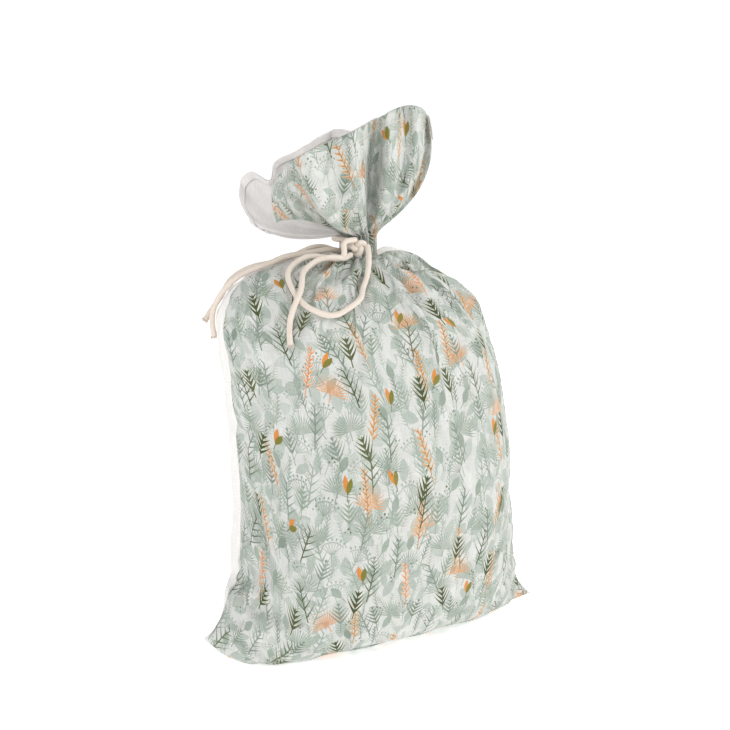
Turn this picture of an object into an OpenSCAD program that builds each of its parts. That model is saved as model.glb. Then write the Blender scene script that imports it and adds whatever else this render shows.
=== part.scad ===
// Drawstring gift pouch, filled and standing, with its neck drawn closed and tied.
// Millimetres. Origin at the middle of the base, on the surface it stands on, +Z up.
// The printed front faces -Y and the plain back faces +Y.

/* [Filled pouch] */
// Half-width of the filled pouch at its middle, side seam to centre
half_width = 104; // [98:1:108]
// Deepest half-depth of the filled pouch, front to centre
half_depth = 68; // [60:1:74]
// Height of the top of the cloth under the drawn neck
shoulder_top = 283; // [270:1:296]
// Distance from the centre to the tip of each bottom corner
ear_reach = 146; // [140:1:150]
// Height of the left corner's tip above the surface
left_ear_height = 20; // [14:1:24]
// Height of the right corner's tip above the surface
right_ear_height = 3; // [2:1:10]
// How much the base turns to the back at the right, as a slope
base_skew = 0.12; // [0:0.01:0.14]
// How far the drawn neck leans to the left of the base's middle
neck_lean = 20; // [10:1:26]

/* [Cloth] */
// Thickness of the cloth solids
cloth = 1.2; // [0.8:0.1:1.2]
// Width of the sewn allowance inside each seam
allowance = 8; // [6:1:9]

/* [Drawn neck] */
// Outside radius of the gathered casing
casing_radius = 15; // [15:0.1:15.4]
// Height of the casing along the neck
casing_height = 18; // [18:0.1:18.4]
// Angle left open at each side where the cord leaves the casing, degrees
side_gap = 40; // [38:1:44]

/* [Ruffle] */
// Depth of the folds along the ruffle's top edge
fold_depth = 7; // [3:0.5:8]
// Number of folds across each flap
fold_count = 5; // [3:1:6]
// Width of the turned hem
hem_width = 9; // [7:1:12]

/* [Cord] */
// Diameter of the drawstring
cord = 4; // [3.4:0.1:4]
// Radius of the bow's knot
knot_radius = 6; // [5.6:0.1:6.2]

/* [Hidden] */
panel_steps_round = 30;
panel_steps_up = 28;
flap_steps_across = 54;
flap_steps_up = 9;
fill_steps_round = 36;
fill_steps_up = 22;
panel_gap = 0.2;
thread_radius = 0.4;
cord_sides = 8;
cloth_gap = 0.5;
skew_top = 90;

neck_base = shoulder_top + 0.5;
neck_top = neck_base + casing_height;
flap_foot = neck_top + 0.5;
flap_foot_radius = casing_radius - 3;
flap_length = 103;
neck_x = -neck_lean;
side_cord_height = neck_base + 4.6;
bow_cord_height = neck_top - 5;
ring_radius = casing_radius - 4;
wrap_radius = casing_radius + cord / 2 + 0.7;
knot_angle = 240;
knot_distance = casing_radius + knot_radius + 1;
knot_height = shoulder_top + 9;
knot_centre = [
    neck_x + knot_distance * cos(knot_angle),
    knot_distance * sin(knot_angle),
    knot_height
];

// Middle line of a panel, from the bottom seam up the face to the neck:
// share of the way up, distance out from the centre, height
face_line = [
    [0.00, 0, 0],
    [0.05, 13, 0],
    [0.09, 21, 1],
    [0.14, half_depth - 34, 9],
    [0.20, half_depth - 22, 26],
    [0.30, half_depth - 12, 60],
    [0.42, half_depth - 4, 104],
    [0.52, half_depth, 146],
    [0.66, half_depth - 2, shoulder_top - 80],
    [0.76, half_depth - 8, shoulder_top - 45],
    [0.85, half_depth - 22, shoulder_top - 21],
    [0.93, 27, shoulder_top - 6],
    [1.00, 14, shoulder_top]
];

// Left side seam, from the corner tip up the side to the neck:
// share of the way up, distance out from the centre, height
left_seam_line = [
    [0.00, ear_reach, left_ear_height],
    [0.04, ear_reach - 11, left_ear_height + 7],
    [0.09, half_width + 24, left_ear_height + 18],
    [0.15, half_width + 16, 58],
    [0.24, half_width + 9, 86],
    [0.36, half_width + 2, 124],
    [0.50, half_width, 166],
    [0.64, half_width - 1, shoulder_top - 73],
    [0.76, half_width + 2, shoulder_top - 37],
    [0.85, half_width - 8, shoulder_top - 13],
    [0.93, 70, shoulder_top - 2],
    [1.00, 14, shoulder_top]
];

// Right side seam, in the same way
right_seam_line = [
    [0.00, ear_reach - 2, right_ear_height],
    [0.04, ear_reach - 13, right_ear_height + 9],
    [0.09, half_width + 20, right_ear_height + 25],
    [0.15, half_width + 15, 50],
    [0.24, half_width + 6, 80],
    [0.36, half_width + 1, 118],
    [0.50, half_width, 160],
    [0.64, half_width - 8, shoulder_top - 81],
    [0.76, half_width - 19, shoulder_top - 47],
    [0.85, half_width - 29, shoulder_top - 26],
    [0.93, 52, shoulder_top - 8],
    [1.00, 14, shoulder_top]
];

// Squareness of the level outline: share of the way up, exponent
outline_line = [
    [0.00, 0.70],
    [0.12, 0.70],
    [0.35, 0.82],
    [0.80, 0.85],
    [1.00, 1.00]
];

// Top edge of the front flap, left corner to right corner, from the flap's foot:
// share of the way across, right, back, up
front_edge = [
    [0.00, -77, -12, 18],
    [0.14, -71, -3, 50],
    [0.27, -72, -26, 59],
    [0.50, -32, -36, 80],
    [0.66, -1, -21, 84],
    [0.86, 33, -6, 87],
    [1.00, 51, -14, 79]
];

// Top edge of the back flap, left corner to right corner, from the flap's foot
back_edge = [
    [0.00, -60, 34, 8],
    [0.10, -70, 45, 22],
    [0.22, -62, 54, 42],
    [0.38, -43, 40, 50],
    [0.62, 10, 36, 66],
    [0.82, 40, 30, 54],
    [1.00, 57, 19, 26]
];

// Cord routes over the cloth: angle round the pouch from the right side, share
// of the way up, height of the cord's centre above the cloth
loop_on_cloth = [
    [165, 0.945, 4.2],
    [152, 0.885, 3.4],
    [143, 0.855, 3.2],
    [138, 0.830, 3.2],
    [130, 0.803, 3.2],
    [120, 0.797, 3.2],
    [110, 0.825, 3.2],
    [102, 0.885, 3.4],
    [97, 0.945, 4.4]
];
tail_on_cloth = [
    [146, 0.955, 3.8],
    [144, 0.920, 3.4],
    [138, 0.885, 3.6],
    [134, 0.858, 5.6],
    [138, 0.826, 8.2],
    [141, 0.795, 6.4],
    [142, 0.765, 3.8],
    [142, 0.735, 3.2]
];
front_strand_on_cloth = [
    [177, 0.950, 3.4],
    [181, 0.905, 3.4],
    [188, 0.865, 3.2],
    [194, 0.830, 3.2],
    [197, 0.790, 3.2],
    [199, 0.750, 3.2],
    [201, 0.710, 3.2],
    [202, 0.680, 3.2]
];
rear_strand_on_cloth = [
    [194, 0.950, 3.6],
    [200, 0.905, 3.6],
    [205, 0.865, 3.4],
    [208, 0.830, 3.4],
    [209, 0.795, 3.8],
    [208, 0.760, 6.5],
    [206, 0.725, 11],
    [204, 0.700, 15]
];

// ---- curves ----

function span_of(rows, at, i = 0) =
    (i >= len(rows) - 2 || at < rows[i + 1][0]) ? i : span_of(rows, at, i + 1);

function slope_at(rows, k) =
    let (lo = max(k - 1, 0), hi = min(k + 1, len(rows) - 1))
    (rows[hi] - rows[lo]) / (rows[hi][0] - rows[lo][0]);

// Smooth curve through the rows, read at a value of their first column
function smooth_row(rows, at) =
    let (
        i = span_of(rows, at),
        h = rows[i + 1][0] - rows[i][0],
        s = (at - rows[i][0]) / h,
        s2 = s * s,
        s3 = s2 * s
    )
    (2 * s3 - 3 * s2 + 1) * rows[i]
    + (s3 - 2 * s2 + s) * h * slope_at(rows, i)
    + (3 * s2 - 2 * s3) * rows[i + 1]
    + (s3 - s2) * h * slope_at(rows, i + 1);

function unit(v) = v / norm(v);

function sign_power(value, power) = sign(value) * pow(abs(value), power);

// How strongly a point belongs to the side seam rather than the face
function seam_share(c) = pow(max(0, (abs(c) - 0.6) / 0.4), 2);

// Point of the filled pouch's outside; the pulls move its sides and faces inwards
function body_point(angle, up, side_pull = 0, face_pull = 0, side_limit = 1000) =
    let (
        face = smooth_row(face_line, up),
        c = cos(angle),
        seam = smooth_row(c < 0 ? left_seam_line : right_seam_line, up),
        power = lookup(up, outline_line),
        s = sin(angle),
        z = max(0, face[2] + (seam[2] - face[2]) * seam_share(c)),
        reach = min(seam[1] - side_pull, side_limit)
    )
    [
        -neck_lean * pow(z / shoulder_top, 1.3) + reach * sign_power(c, power),
        -(face[1] - face_pull) * sign_power(s, power),
        z
    ];

// Moves a point of the base by the base's turn, which is gone at skew_top
function skewed(p, skew) =
    let (t = max(0, 1 - p[2] / skew_top))
    [p[0], p[1] + skew * p[0] * t * t * (3 - 2 * t), p[2]];

// Outward direction of the pouch's outside at a point
function body_outward(angle, up, low = -360, high = 360) =
    let (
        round = body_point(max(low, angle - 2), up) - body_point(min(high, angle + 2), up),
        rise = body_point(angle, min(1, up + 0.01)) - body_point(angle, max(0, up - 0.01))
    )
    unit(cross(round, rise));

// Point at a height above the cloth
function over_cloth(row) = body_point(row[0], row[1]) + row[2] * body_outward(row[0], row[1]);

// Point of a flap: foot on the neck, edge along the given rows
function flap_point(edge, back, across, up) =
    let (
        foot_angle = back > 0 ? 180 - 180 * across : 180 + 180 * across,
        foot = [cos(foot_angle), sin(foot_angle), 0] * flap_foot_radius,
        rim = smooth_row(edge, across),
        target = [rim[1], rim[2], rim[3]],
        spread = pow(up, 0.8),
        fold = fold_depth * up * sin(360 * fold_count * across + 60),
        x = foot[0] + (target[0] - foot[0]) * spread,
        y = foot[1] + (target[1] - foot[1]) * spread + fold * min(1, 3 * up)
    )
    [x, back * max(panel_gap + 0.1, back * y), target[2] * up];

function flap_inward(edge, back, across, up) =
    let (
        e = 0.01,
        run = flap_point(edge, back, min(1, across + e), up) - flap_point(edge, back, max(0, across - e), up),
        rise = flap_point(edge, back, across, min(1, up + e)) - flap_point(edge, back, across, max(0, up - e))
    )
    unit(cross(rise, run)) * -back;

// Point of a flap at a depth inside its outer face
function flap_layer(edge, back, across, up, depth) =
    let (p = flap_point(edge, back, across, up) + depth * flap_inward(edge, back, across, up))
    [p[0], back * max(panel_gap, back * p[1]), max(0, p[2])];

// ---- solids from grids of points ----

// Closed skin between an outer and an inner grid, each given row by row
module skin_between(outer, inner, flip = false) {
    rows = len(outer);
    columns = len(outer[0]);
    count = rows * columns;
    points = [for (grid = [outer, inner]) for (row = grid) for (p = row) p];
    faces = concat(
        [for (r = [0 : rows - 2]) for (c = [0 : columns - 2]) each [
            [r * columns + c, r * columns + c + 1, (r + 1) * columns + c + 1],
            [r * columns + c, (r + 1) * columns + c + 1, (r + 1) * columns + c]
        ]],
        [for (r = [0 : rows - 2]) for (c = [0 : columns - 2]) each [
            [count + r * columns + c, count + (r + 1) * columns + c + 1, count + r * columns + c + 1],
            [count + r * columns + c, count + (r + 1) * columns + c, count + (r + 1) * columns + c + 1]
        ]],
        [for (c = [0 : columns - 2]) each [
            [c, count + c, count + c + 1],
            [c, count + c + 1, c + 1],
            [(rows - 1) * columns + c, (rows - 1) * columns + c + 1, count + (rows - 1) * columns + c + 1],
            [(rows - 1) * columns + c, count + (rows - 1) * columns + c + 1, count + (rows - 1) * columns + c]
        ]],
        [for (r = [0 : rows - 2]) each [
            [r * columns, (r + 1) * columns, count + (r + 1) * columns],
            [r * columns, count + (r + 1) * columns, count + r * columns],
            [(r + 1) * columns - 1, count + (r + 1) * columns - 1, count + (r + 2) * columns - 1],
            [(r + 1) * columns - 1, count + (r + 2) * columns - 1, (r + 2) * columns - 1]
        ]]
    );
    polyhedron(points, flip ? faces : [for (f = faces) [f[0], f[2], f[1]]], convexity = 8);
}

function tangent(path, i) = unit(path[min(i + 1, len(path) - 1)] - path[max(i - 1, 0)]);

function square_to(v, direction) = unit(v - direction * (v * direction));

function carried(path, normals, i = 1) =
    i == len(path) ? normals
    : carried(path, concat(normals, [square_to(normals[i - 1], tangent(path, i))]), i + 1);

// Round tube along a path
module tube(path, radius, sides) {
    start = abs(tangent(path, 0)[2]) < 0.9 ? [0, 0, 1] : [1, 0, 0];
    normals = carried(path, [square_to(start, tangent(path, 0))]);
    points = [
        for (i = [0 : len(path) - 1]) for (k = [0 : sides - 1])
            let (n = normals[i], b = cross(tangent(path, i), n), a = 360 * k / sides)
            path[i] + radius * (cos(a) * n + sin(a) * b)
    ];
    faces = concat(
        [[for (k = [0 : sides - 1]) k]],
        [[for (k = [sides - 1 : -1 : 0]) (len(path) - 1) * sides + k]],
        [for (i = [0 : len(path) - 2]) for (k = [0 : sides - 1])
            let (m = (k + 1) % sides) each [
                [i * sides + k, (i + 1) * sides + k, (i + 1) * sides + m],
                [i * sides + k, (i + 1) * sides + m, i * sides + m]
            ]]
    );
    polyhedron(points, faces, convexity = 8);
}

// Path through given points, with a number of steps between each two
function eased_path(points, steps) =
    let (rows = [for (i = [0 : len(points) - 1]) [i, points[i][0], points[i][1], points[i][2]]])
    [for (k = [0 : (len(points) - 1) * steps])
        let (r = smooth_row(rows, min(k / steps, len(points) - 1 - 0.000001)))
        [r[1], r[2], r[3]]];

function round_neck(radius, angle, height) = [neck_x + radius * cos(angle), radius * sin(angle), height];

// ---- panels, seams and filling ----

function panel_row(up, depth, skew) = [
    for (k = [0 : panel_steps_round])
        let (
            angle = 180 - 180 * k / panel_steps_round,
            p = body_point(angle, up) - depth * body_outward(angle, up, 0, 180)
        )
        skewed(
            [p[0] - 0.4 * depth * cos(angle), min(-panel_gap, p[1] - panel_gap), max(depth, p[2])],
            skew
        )
];

module front_shell(skew) {
    skin_between(
        [for (j = [0 : panel_steps_up]) panel_row(j / panel_steps_up, 0, skew)],
        [for (j = [0 : panel_steps_up]) panel_row(j / panel_steps_up, cloth, skew)]
    );
}

module front_panel() {
    color([0.80, 0.85, 0.80]) front_shell(base_skew);
}

module back_panel() {
    color([0.93, 0.91, 0.87]) mirror([0, 1, 0]) front_shell(-base_skew);
}

// Sewn allowance standing inward from a side seam
module side_allowance(side) {
    half = 0.8;
    steps = 18;
    function edge(j, depth) =
        let (
            up = 0.07 + 0.84 * j / steps,
            here = body_point(side > 0 ? 0 : 180, up),
            along = unit(body_point(side > 0 ? 0 : 180, up + 0.01) - body_point(side > 0 ? 0 : 180, up - 0.01)),
            inward = side * cross([0, 1, 0], along) * -1
        )
        here + depth * inward;
    function edge_pair(j, shift) = [
        for (d = [near_depth, near_depth + allowance]) skewed(edge(j, d) + [0, shift, 0], base_skew)
    ];
    near_depth = cloth + cloth_gap + 0.8;
    skin_between([for (j = [0 : steps]) edge_pair(j, -half)], [for (j = [0 : steps]) edge_pair(j, half)], side > 0);
}

module left_side_seam() {
    color([0.90, 0.88, 0.84]) side_allowance(-1);
}

module right_side_seam() {
    color([0.90, 0.88, 0.84]) side_allowance(1);
}

// Bottom allowance, pressed flat on the inside of the base
module bottom_seam() {
    length = 2 * half_width - 46;
    color([0.90, 0.88, 0.84])
        multmatrix([[1, 0, 0, 0], [base_skew, 1, 0, 0], [0, 0, 1, 0]])
            translate([-length / 2, -allowance, cloth + 0.5])
                cube([length, 2 * allowance, 1.3]);
}

// Soft filling that holds the pouch upright
module stuffing() {
    first = 0.05;
    last = 0.96;
    inset = cloth + cloth_gap + 0.8;
    side_inset = inset + allowance + 2.5;
    floor_height = cloth + 2.6;
    ceiling_height = shoulder_top - cloth - 7;
    function fill_ring(up) = [
        for (k = [0 : fill_steps_round - 1])
            let (p = body_point(360 * k / fill_steps_round, up, side_inset, inset, half_width - 12))
            skewed([p[0], p[1], floor_height + p[2] * (ceiling_height - floor_height) / shoulder_top], base_skew)
    ];
    rings = [for (j = [0 : fill_steps_up]) fill_ring(first + (last - first) * j / fill_steps_up)];
    n = fill_steps_round;
    points = concat(
        [for (ring = rings) for (p = ring) p],
        [[0, 0, floor_height], [neck_x, 0, rings[fill_steps_up][n / 4][2]]]
    );
    top = fill_steps_up * n;
    faces = concat(
        [for (j = [0 : fill_steps_up - 1]) for (k = [0 : n - 1])
            let (m = (k + 1) % n) each [
                [j * n + k, j * n + m, (j + 1) * n + m],
                [j * n + k, (j + 1) * n + m, (j + 1) * n + k]
            ]],
        [for (k = [0 : n - 1]) [len(points) - 2, (k + 1) % n, k]],
        [for (k = [0 : n - 1]) [len(points) - 1, top + k, top + (k + 1) % n]]
    );
    color([0.96, 0.96, 0.95]) polyhedron(points, faces, convexity = 4);
}

// ---- neck ----

// Half of the gathered channel that the cords run in
module half_casing(middle_angle) {
    wall = cloth;
    depth = 7.5;
    sweep = 180 - side_gap;
    translate([neck_x, 0, neck_base])
        rotate([0, 0, middle_angle - sweep / 2])
            rotate_extrude(angle = sweep, $fn = 72)
                difference() {
                    translate([casing_radius - depth, 0])
                        square([depth, casing_height]);
                    translate([casing_radius - depth + wall, wall])
                        square([depth - 2 * wall, casing_height - 2 * wall]);
                }
}

module front_casing() {
    color([0.80, 0.85, 0.80]) half_casing(270);
}

module back_casing() {
    color([0.93, 0.91, 0.87]) half_casing(90);
}

// Two rows of stitching that close a casing's channel
module half_stitching(middle_angle) {
    sweep = 178 - side_gap;
    for (row_height = [neck_base + 1.4, neck_top - 1.4])
        translate([neck_x, 0, row_height])
            rotate([0, 0, middle_angle - sweep / 2])
                rotate_extrude(angle = sweep, $fn = 72)
                    translate([casing_radius + 0.1, 0])
                        circle(r = thread_radius, $fn = 16);
}

module front_casing_stitching() {
    color([0.86, 0.88, 0.84]) half_stitching(270);
}

module back_casing_stitching() {
    color([0.95, 0.94, 0.91]) half_stitching(90);
}

// Part of the side cord inside the casing, with both ends at the left opening
module side_cord_in_casing() {
    gap_half = cord / 2 + 0.35;
    turn = 18;
    ring = [for (a = [180 + turn : 12 : 540 - turn]) round_neck(ring_radius, a, side_cord_height)];
    out = neck_x - casing_radius;
    path = concat(
        [[out, -gap_half, side_cord_height], [out + 2.4, -gap_half - 0.2, side_cord_height]],
        ring,
        [[out + 2.4, gap_half + 0.2, side_cord_height], [out, gap_half, side_cord_height]]
    );
    color([0.90, 0.86, 0.81]) tube(path, cord / 2, cord_sides);
}

// Part of the bow cord inside the casing, led out at the left and round to the knot
module bow_cord_in_casing() {
    low_height = bow_cord_height - cord - 0.8;
    ring = [for (a = [212 : 12 : 500]) round_neck(ring_radius, a, bow_cord_height)];
    first_end = [
        round_neck(wrap_radius, 230, low_height),
        round_neck(wrap_radius, 220, low_height),
        round_neck(wrap_radius, 211, low_height + 0.3),
        round_neck(wrap_radius - 0.2, 203, low_height + 1.4),
        round_neck(wrap_radius - 1.6, 194, bow_cord_height - 1),
        round_neck(ring_radius + 2, 190, bow_cord_height),
        round_neck(ring_radius + 0.3, 199, bow_cord_height)
    ];
    last_end = [
        round_neck(ring_radius + 0.2, 153, bow_cord_height),
        round_neck(ring_radius + 1, 165, bow_cord_height),
        round_neck(wrap_radius - 1.6, 171, bow_cord_height + 0.3),
        round_neck(wrap_radius + 2, 180, bow_cord_height + 0.8),
        round_neck(wrap_radius + 3, 192, bow_cord_height + 0.8),
        round_neck(wrap_radius + 2.4, 204, bow_cord_height + 0.6),
        round_neck(wrap_radius + 1, 216, bow_cord_height),
        round_neck(wrap_radius + 0.6, 228, bow_cord_height - 1)
    ];
    color([0.90, 0.86, 0.81]) tube(concat(first_end, ring, last_end), cord / 2, cord_sides);
}

module bow_knot() {
    color([0.90, 0.86, 0.81]) translate(knot_centre) sphere(r = knot_radius, $fn = 48);
}

// ---- ruffle ----

module flap(edge, back, from_up, depths) {
    translate([neck_x, 0, flap_foot])
        skin_between(
            [for (j = [0 : flap_steps_up]) [for (i = [0 : flap_steps_across])
                flap_layer(edge, back, i / flap_steps_across, from_up + (1 - from_up) * j / flap_steps_up, depths[0])]],
            [for (j = [0 : flap_steps_up]) [for (i = [0 : flap_steps_across])
                flap_layer(edge, back, i / flap_steps_across, from_up + (1 - from_up) * j / flap_steps_up, depths[1])]],
            back > 0
        );
}

// Turned layer of a hem, on the inside of a flap
module turned_hem(edge, back) {
    from_up = 1 - hem_width / flap_length;
    rise = [from_up, 0.995];
    layer = [cloth + 0.2, 1.8 * cloth + 0.2];
    translate([neck_x, 0, flap_foot])
        skin_between(
            [for (up = rise) [for (i = [0 : flap_steps_across])
                flap_layer(edge, back, i / flap_steps_across, up, layer[0])]],
            [for (up = rise) [for (i = [0 : flap_steps_across])
                flap_layer(edge, back, i / flap_steps_across, up, layer[1])]],
            back > 0
        );
}

module hem_thread(edge, back) {
    up = 1 - 0.8 * hem_width / flap_length;
    translate([neck_x, 0, flap_foot])
        tube([for (i = [1 : flap_steps_across - 1])
            flap_layer(edge, back, i / flap_steps_across, up, 0.1)], thread_radius, 6);
}

module front_ruffle() {
    color([0.80, 0.85, 0.80]) flap(front_edge, -1, 0, [0, cloth]);
}

module front_hem() {
    color([0.88, 0.88, 0.84]) turned_hem(front_edge, -1);
}

module front_hem_stitching() {
    color([0.86, 0.88, 0.84]) hem_thread(front_edge, -1);
}

module back_ruffle() {
    color([0.93, 0.91, 0.87]) flap(back_edge, 1, 0, [0, cloth]);
}

module back_hem() {
    color([0.93, 0.91, 0.87]) turned_hem(back_edge, 1);
}

module back_hem_stitching() {
    color([0.95, 0.94, 0.91]) hem_thread(back_edge, 1);
}

// ---- free cords ----

module bow_loop() {
    start = knot_centre + (knot_radius + 1) * unit([-0.45, -0.35, 0.8]);
    finish = knot_centre + (knot_radius + 1) * unit([0.95, -0.3, 0.1]);
    path = concat(
        [start, start + [-4, -1.5, 3.2], start + [-11, 1.5, 1.8], start + [-18, 6.5, -3.5]],
        [for (row = loop_on_cloth) over_cloth(row)],
        [finish + [3.6, -1.5, -2.4], finish]
    );
    color([0.90, 0.86, 0.81]) tube(eased_path(path, 2), cord / 2, cord_sides);
}

module bow_tail() {
    start = knot_centre + (knot_radius + 2) * unit([-0.75, -0.1, -0.6]);
    path = concat([start], [for (row = tail_on_cloth) over_cloth(row)]);
    color([0.90, 0.86, 0.81]) tube(eased_path(path, 2), cord / 2, cord_sides);
}

module side_strand(start_y, rows) {
    start = [neck_x - casing_radius - 1.7, start_y, side_cord_height];
    path = concat([start, start + [-7, 1.6 * start_y, -0.6]], [for (row = rows) over_cloth(row)]);
    color([0.90, 0.86, 0.81]) tube(eased_path(path, 2), cord / 2, cord_sides);
}

module front_side_strand() {
    side_strand(-cord / 2 - 0.35, front_strand_on_cloth);
}

module rear_side_strand() {
    side_strand(cord / 2 + 0.35, rear_strand_on_cloth);
}

front_panel();
back_panel();
left_side_seam();
right_side_seam();
bottom_seam();
stuffing();
front_casing();
back_casing();
front_casing_stitching();
back_casing_stitching();
side_cord_in_casing();
bow_cord_in_casing();
bow_knot();
front_ruffle();
front_hem();
front_hem_stitching();
back_ruffle();
back_hem();
back_hem_stitching();
bow_loop();
bow_tail();
front_side_strand();
rear_side_strand();
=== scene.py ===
import math
from functools import partialmethod

import bpy
import numpy as np
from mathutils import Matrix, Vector
from mathutils.bvhtree import BVHTree


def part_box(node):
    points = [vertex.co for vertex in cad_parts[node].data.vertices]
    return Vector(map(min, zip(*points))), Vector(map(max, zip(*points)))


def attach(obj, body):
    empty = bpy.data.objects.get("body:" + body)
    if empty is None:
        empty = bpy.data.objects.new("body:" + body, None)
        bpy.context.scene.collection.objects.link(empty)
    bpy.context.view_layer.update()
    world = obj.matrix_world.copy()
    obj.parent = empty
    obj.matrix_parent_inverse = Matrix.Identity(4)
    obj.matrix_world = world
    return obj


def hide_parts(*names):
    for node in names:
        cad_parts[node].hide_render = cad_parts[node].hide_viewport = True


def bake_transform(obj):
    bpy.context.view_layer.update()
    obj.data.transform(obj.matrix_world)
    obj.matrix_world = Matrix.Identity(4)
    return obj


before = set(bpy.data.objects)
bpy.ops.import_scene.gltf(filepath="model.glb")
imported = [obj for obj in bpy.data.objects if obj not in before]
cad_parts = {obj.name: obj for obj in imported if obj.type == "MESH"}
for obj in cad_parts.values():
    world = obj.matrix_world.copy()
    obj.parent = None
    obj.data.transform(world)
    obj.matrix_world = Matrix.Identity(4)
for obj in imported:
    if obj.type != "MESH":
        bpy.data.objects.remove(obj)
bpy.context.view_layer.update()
scene = bpy.context.scene
MM = 0.001

# ---------------------------------------------------------------- camera
look_at = Vector((-0.0107, 0.0062, 0.2027))
azimuth, elevation, distance = math.radians(-30), math.radians(9.5), 1.26
to_camera = Vector((math.sin(azimuth) * math.cos(elevation), -math.cos(azimuth) * math.cos(elevation),
                    math.sin(elevation)))
camera = bpy.data.objects.new("camera", bpy.data.cameras.new("camera"))
scene.collection.objects.link(camera)
camera.data.lens, camera.data.sensor_width = 85, 36
camera.location = look_at + to_camera * distance
camera.rotation_mode = "QUATERNION"
camera.rotation_quaternion = (-to_camera).to_track_quat("-Z", "Y")
camera.data.clip_start, camera.data.clip_end = 0.05, 20
scene.camera = camera

# ---------------------------------------------------------------- sizes read from the frame
panel_low, panel_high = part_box("front_panel")
casing_low, casing_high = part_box("front_casing")
CORD, CLOTH = 4 * MM, 0.6 * MM
LOWEST = 0.3 * MM
TOP = panel_high.z
DEPTH = -panel_low.y - 0.2 * MM
EAR = -panel_low.x - 0.6 * MM
HALF = EAR - 39 * MM
SKEW, SKEW_TOP = 0.12, 90 * MM
NECK_X = (casing_low.x + casing_high.x) / 2
NECK_R = -casing_low.y
BAND_HIGH = casing_high.z
FOOT = BAND_HIGH - 2 * MM
FLAP_LENGTH, CLOTH_WIDTH = 0.104, 0.310

# outlines of the filled body from the bottom seam: share of the way up, distance out, height
FACE_LINE = np.array([
    [0.00, 0, 0], [0.05, 13 * MM, 0], [0.09, 21 * MM, MM], [0.14, DEPTH - 34 * MM, 9 * MM],
    [0.20, DEPTH - 22 * MM, 26 * MM], [0.30, DEPTH - 12 * MM, 60 * MM], [0.42, DEPTH - 4 * MM, 104 * MM],
    [0.52, DEPTH, 146 * MM], [0.66, DEPTH - 2 * MM, TOP - 80 * MM], [0.76, DEPTH - 8 * MM, TOP - 45 * MM],
    [0.85, DEPTH - 22 * MM, TOP - 21 * MM], [0.93, 27 * MM, TOP - 6 * MM], [1.00, 14 * MM, TOP]])
LEFT_LINE = np.array([
    [0.00, EAR + 6 * MM, 24 * MM], [0.04, EAR - 5 * MM, 30 * MM], [0.09, HALF + 26 * MM, 40 * MM],
    [0.15, HALF + 19 * MM, 58 * MM], [0.24, HALF + 11 * MM, 86 * MM], [0.36, HALF + 3 * MM, 124 * MM],
    [0.50, HALF, 166 * MM], [0.64, HALF - MM, TOP - 73 * MM], [0.76, HALF + 2 * MM, TOP - 37 * MM],
    [0.85, HALF - 8 * MM, TOP - 13 * MM], [0.93, 70 * MM, TOP - 2 * MM], [1.00, 14 * MM, TOP]])
RIGHT_LINE = np.array([
    [0.00, EAR + 3 * MM, 3 * MM], [0.04, EAR - 9 * MM, 12 * MM], [0.09, HALF + 20 * MM, 28 * MM],
    [0.15, HALF + 15 * MM, 50 * MM], [0.24, HALF + 6 * MM, 80 * MM], [0.36, HALF + MM, 118 * MM],
    [0.50, HALF, 160 * MM], [0.64, HALF - 6 * MM, TOP - 79 * MM], [0.76, HALF - 16 * MM, TOP - 44 * MM],
    [0.85, HALF - 26 * MM, TOP - 22 * MM], [0.93, 56 * MM, TOP - 6 * MM], [1.00, 14 * MM, TOP]])
# share of the way across, and mm right, back and up from the flap's foot: the rim, and half way to the rim
FLAP_UNITS = [1, MM, MM, MM]
FRONT_RIM = np.array([
    [0.00, -73, -12, 12], [0.09, -75, -13, 34], [0.17, -72, -24, 50], [0.27, -60, -27, 59],
    [0.40, -37, -37, 70], [0.55, -8, -31, 80], [0.70, 18, -22, 89], [0.84, 39, -12, 91],
    [0.94, 51, -9, 86], [1.00, 53, -11, 74]]) * FLAP_UNITS
FRONT_MIDDLE = np.array([
    [0.00, -45, -7, 12], [0.10, -50, -14, 23], [0.18, -51, -23, 23], [0.27, -43, -30, 17],
    [0.36, -31, -31, 19], [0.47, -14, -28, 27], [0.57, 0, -17, 34], [0.66, 9, -25, 36],
    [0.77, 23, -25, 38], [0.89, 38, -13, 39], [1.00, 47, -9, 33]]) * FLAP_UNITS
BACK_RIM = np.array([
    [0.00, -57, 31, 2], [0.08, -66, 39, 10], [0.16, -71, 47, 24], [0.24, -67, 52, 38],
    [0.30, -58, 51, 44], [0.35, -49, 42, 38], [0.41, -43, 47, 50], [0.50, -26, 43, 58],
    [0.62, -8, 40, 69], [0.74, 10, 38, 73], [0.86, 34, 30, 62], [0.95, 50, 19, 44],
    [1.00, 54, 13, 31]]) * FLAP_UNITS
BACK_MIDDLE = np.array([
    [0.00, -40, 15, -3], [0.16, -49, 29, 6], [0.32, -39, 35, 19], [0.50, -20, 32, 31],
    [0.74, 6, 28, 37], [0.90, 30, 19, 28], [1.00, 37, 11, 17]]) * FLAP_UNITS


def smooth_rows(rows, at):
    """Smooth curve through the rows, read at values of their first column."""
    at = np.atleast_1d(np.asarray(at, float))
    x = rows[:, 0]
    i = np.clip(np.searchsorted(x, at, side="right") - 1, 0, len(x) - 2)
    slope = np.array([(rows[min(k + 1, len(x) - 1)] - rows[max(k - 1, 0)])
                      / (x[min(k + 1, len(x) - 1)] - x[max(k - 1, 0)]) for k in range(len(x))])
    h = (x[i + 1] - x[i])[:, None]
    s = (at[:, None] - x[i][:, None]) / h
    return ((2 * s**3 - 3 * s**2 + 1) * rows[i] + (s**3 - 2 * s**2 + s) * h * slope[i]
            + (3 * s**2 - 2 * s**3) * rows[i + 1] + (s**3 - s**2) * h * slope[i + 1])


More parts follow.
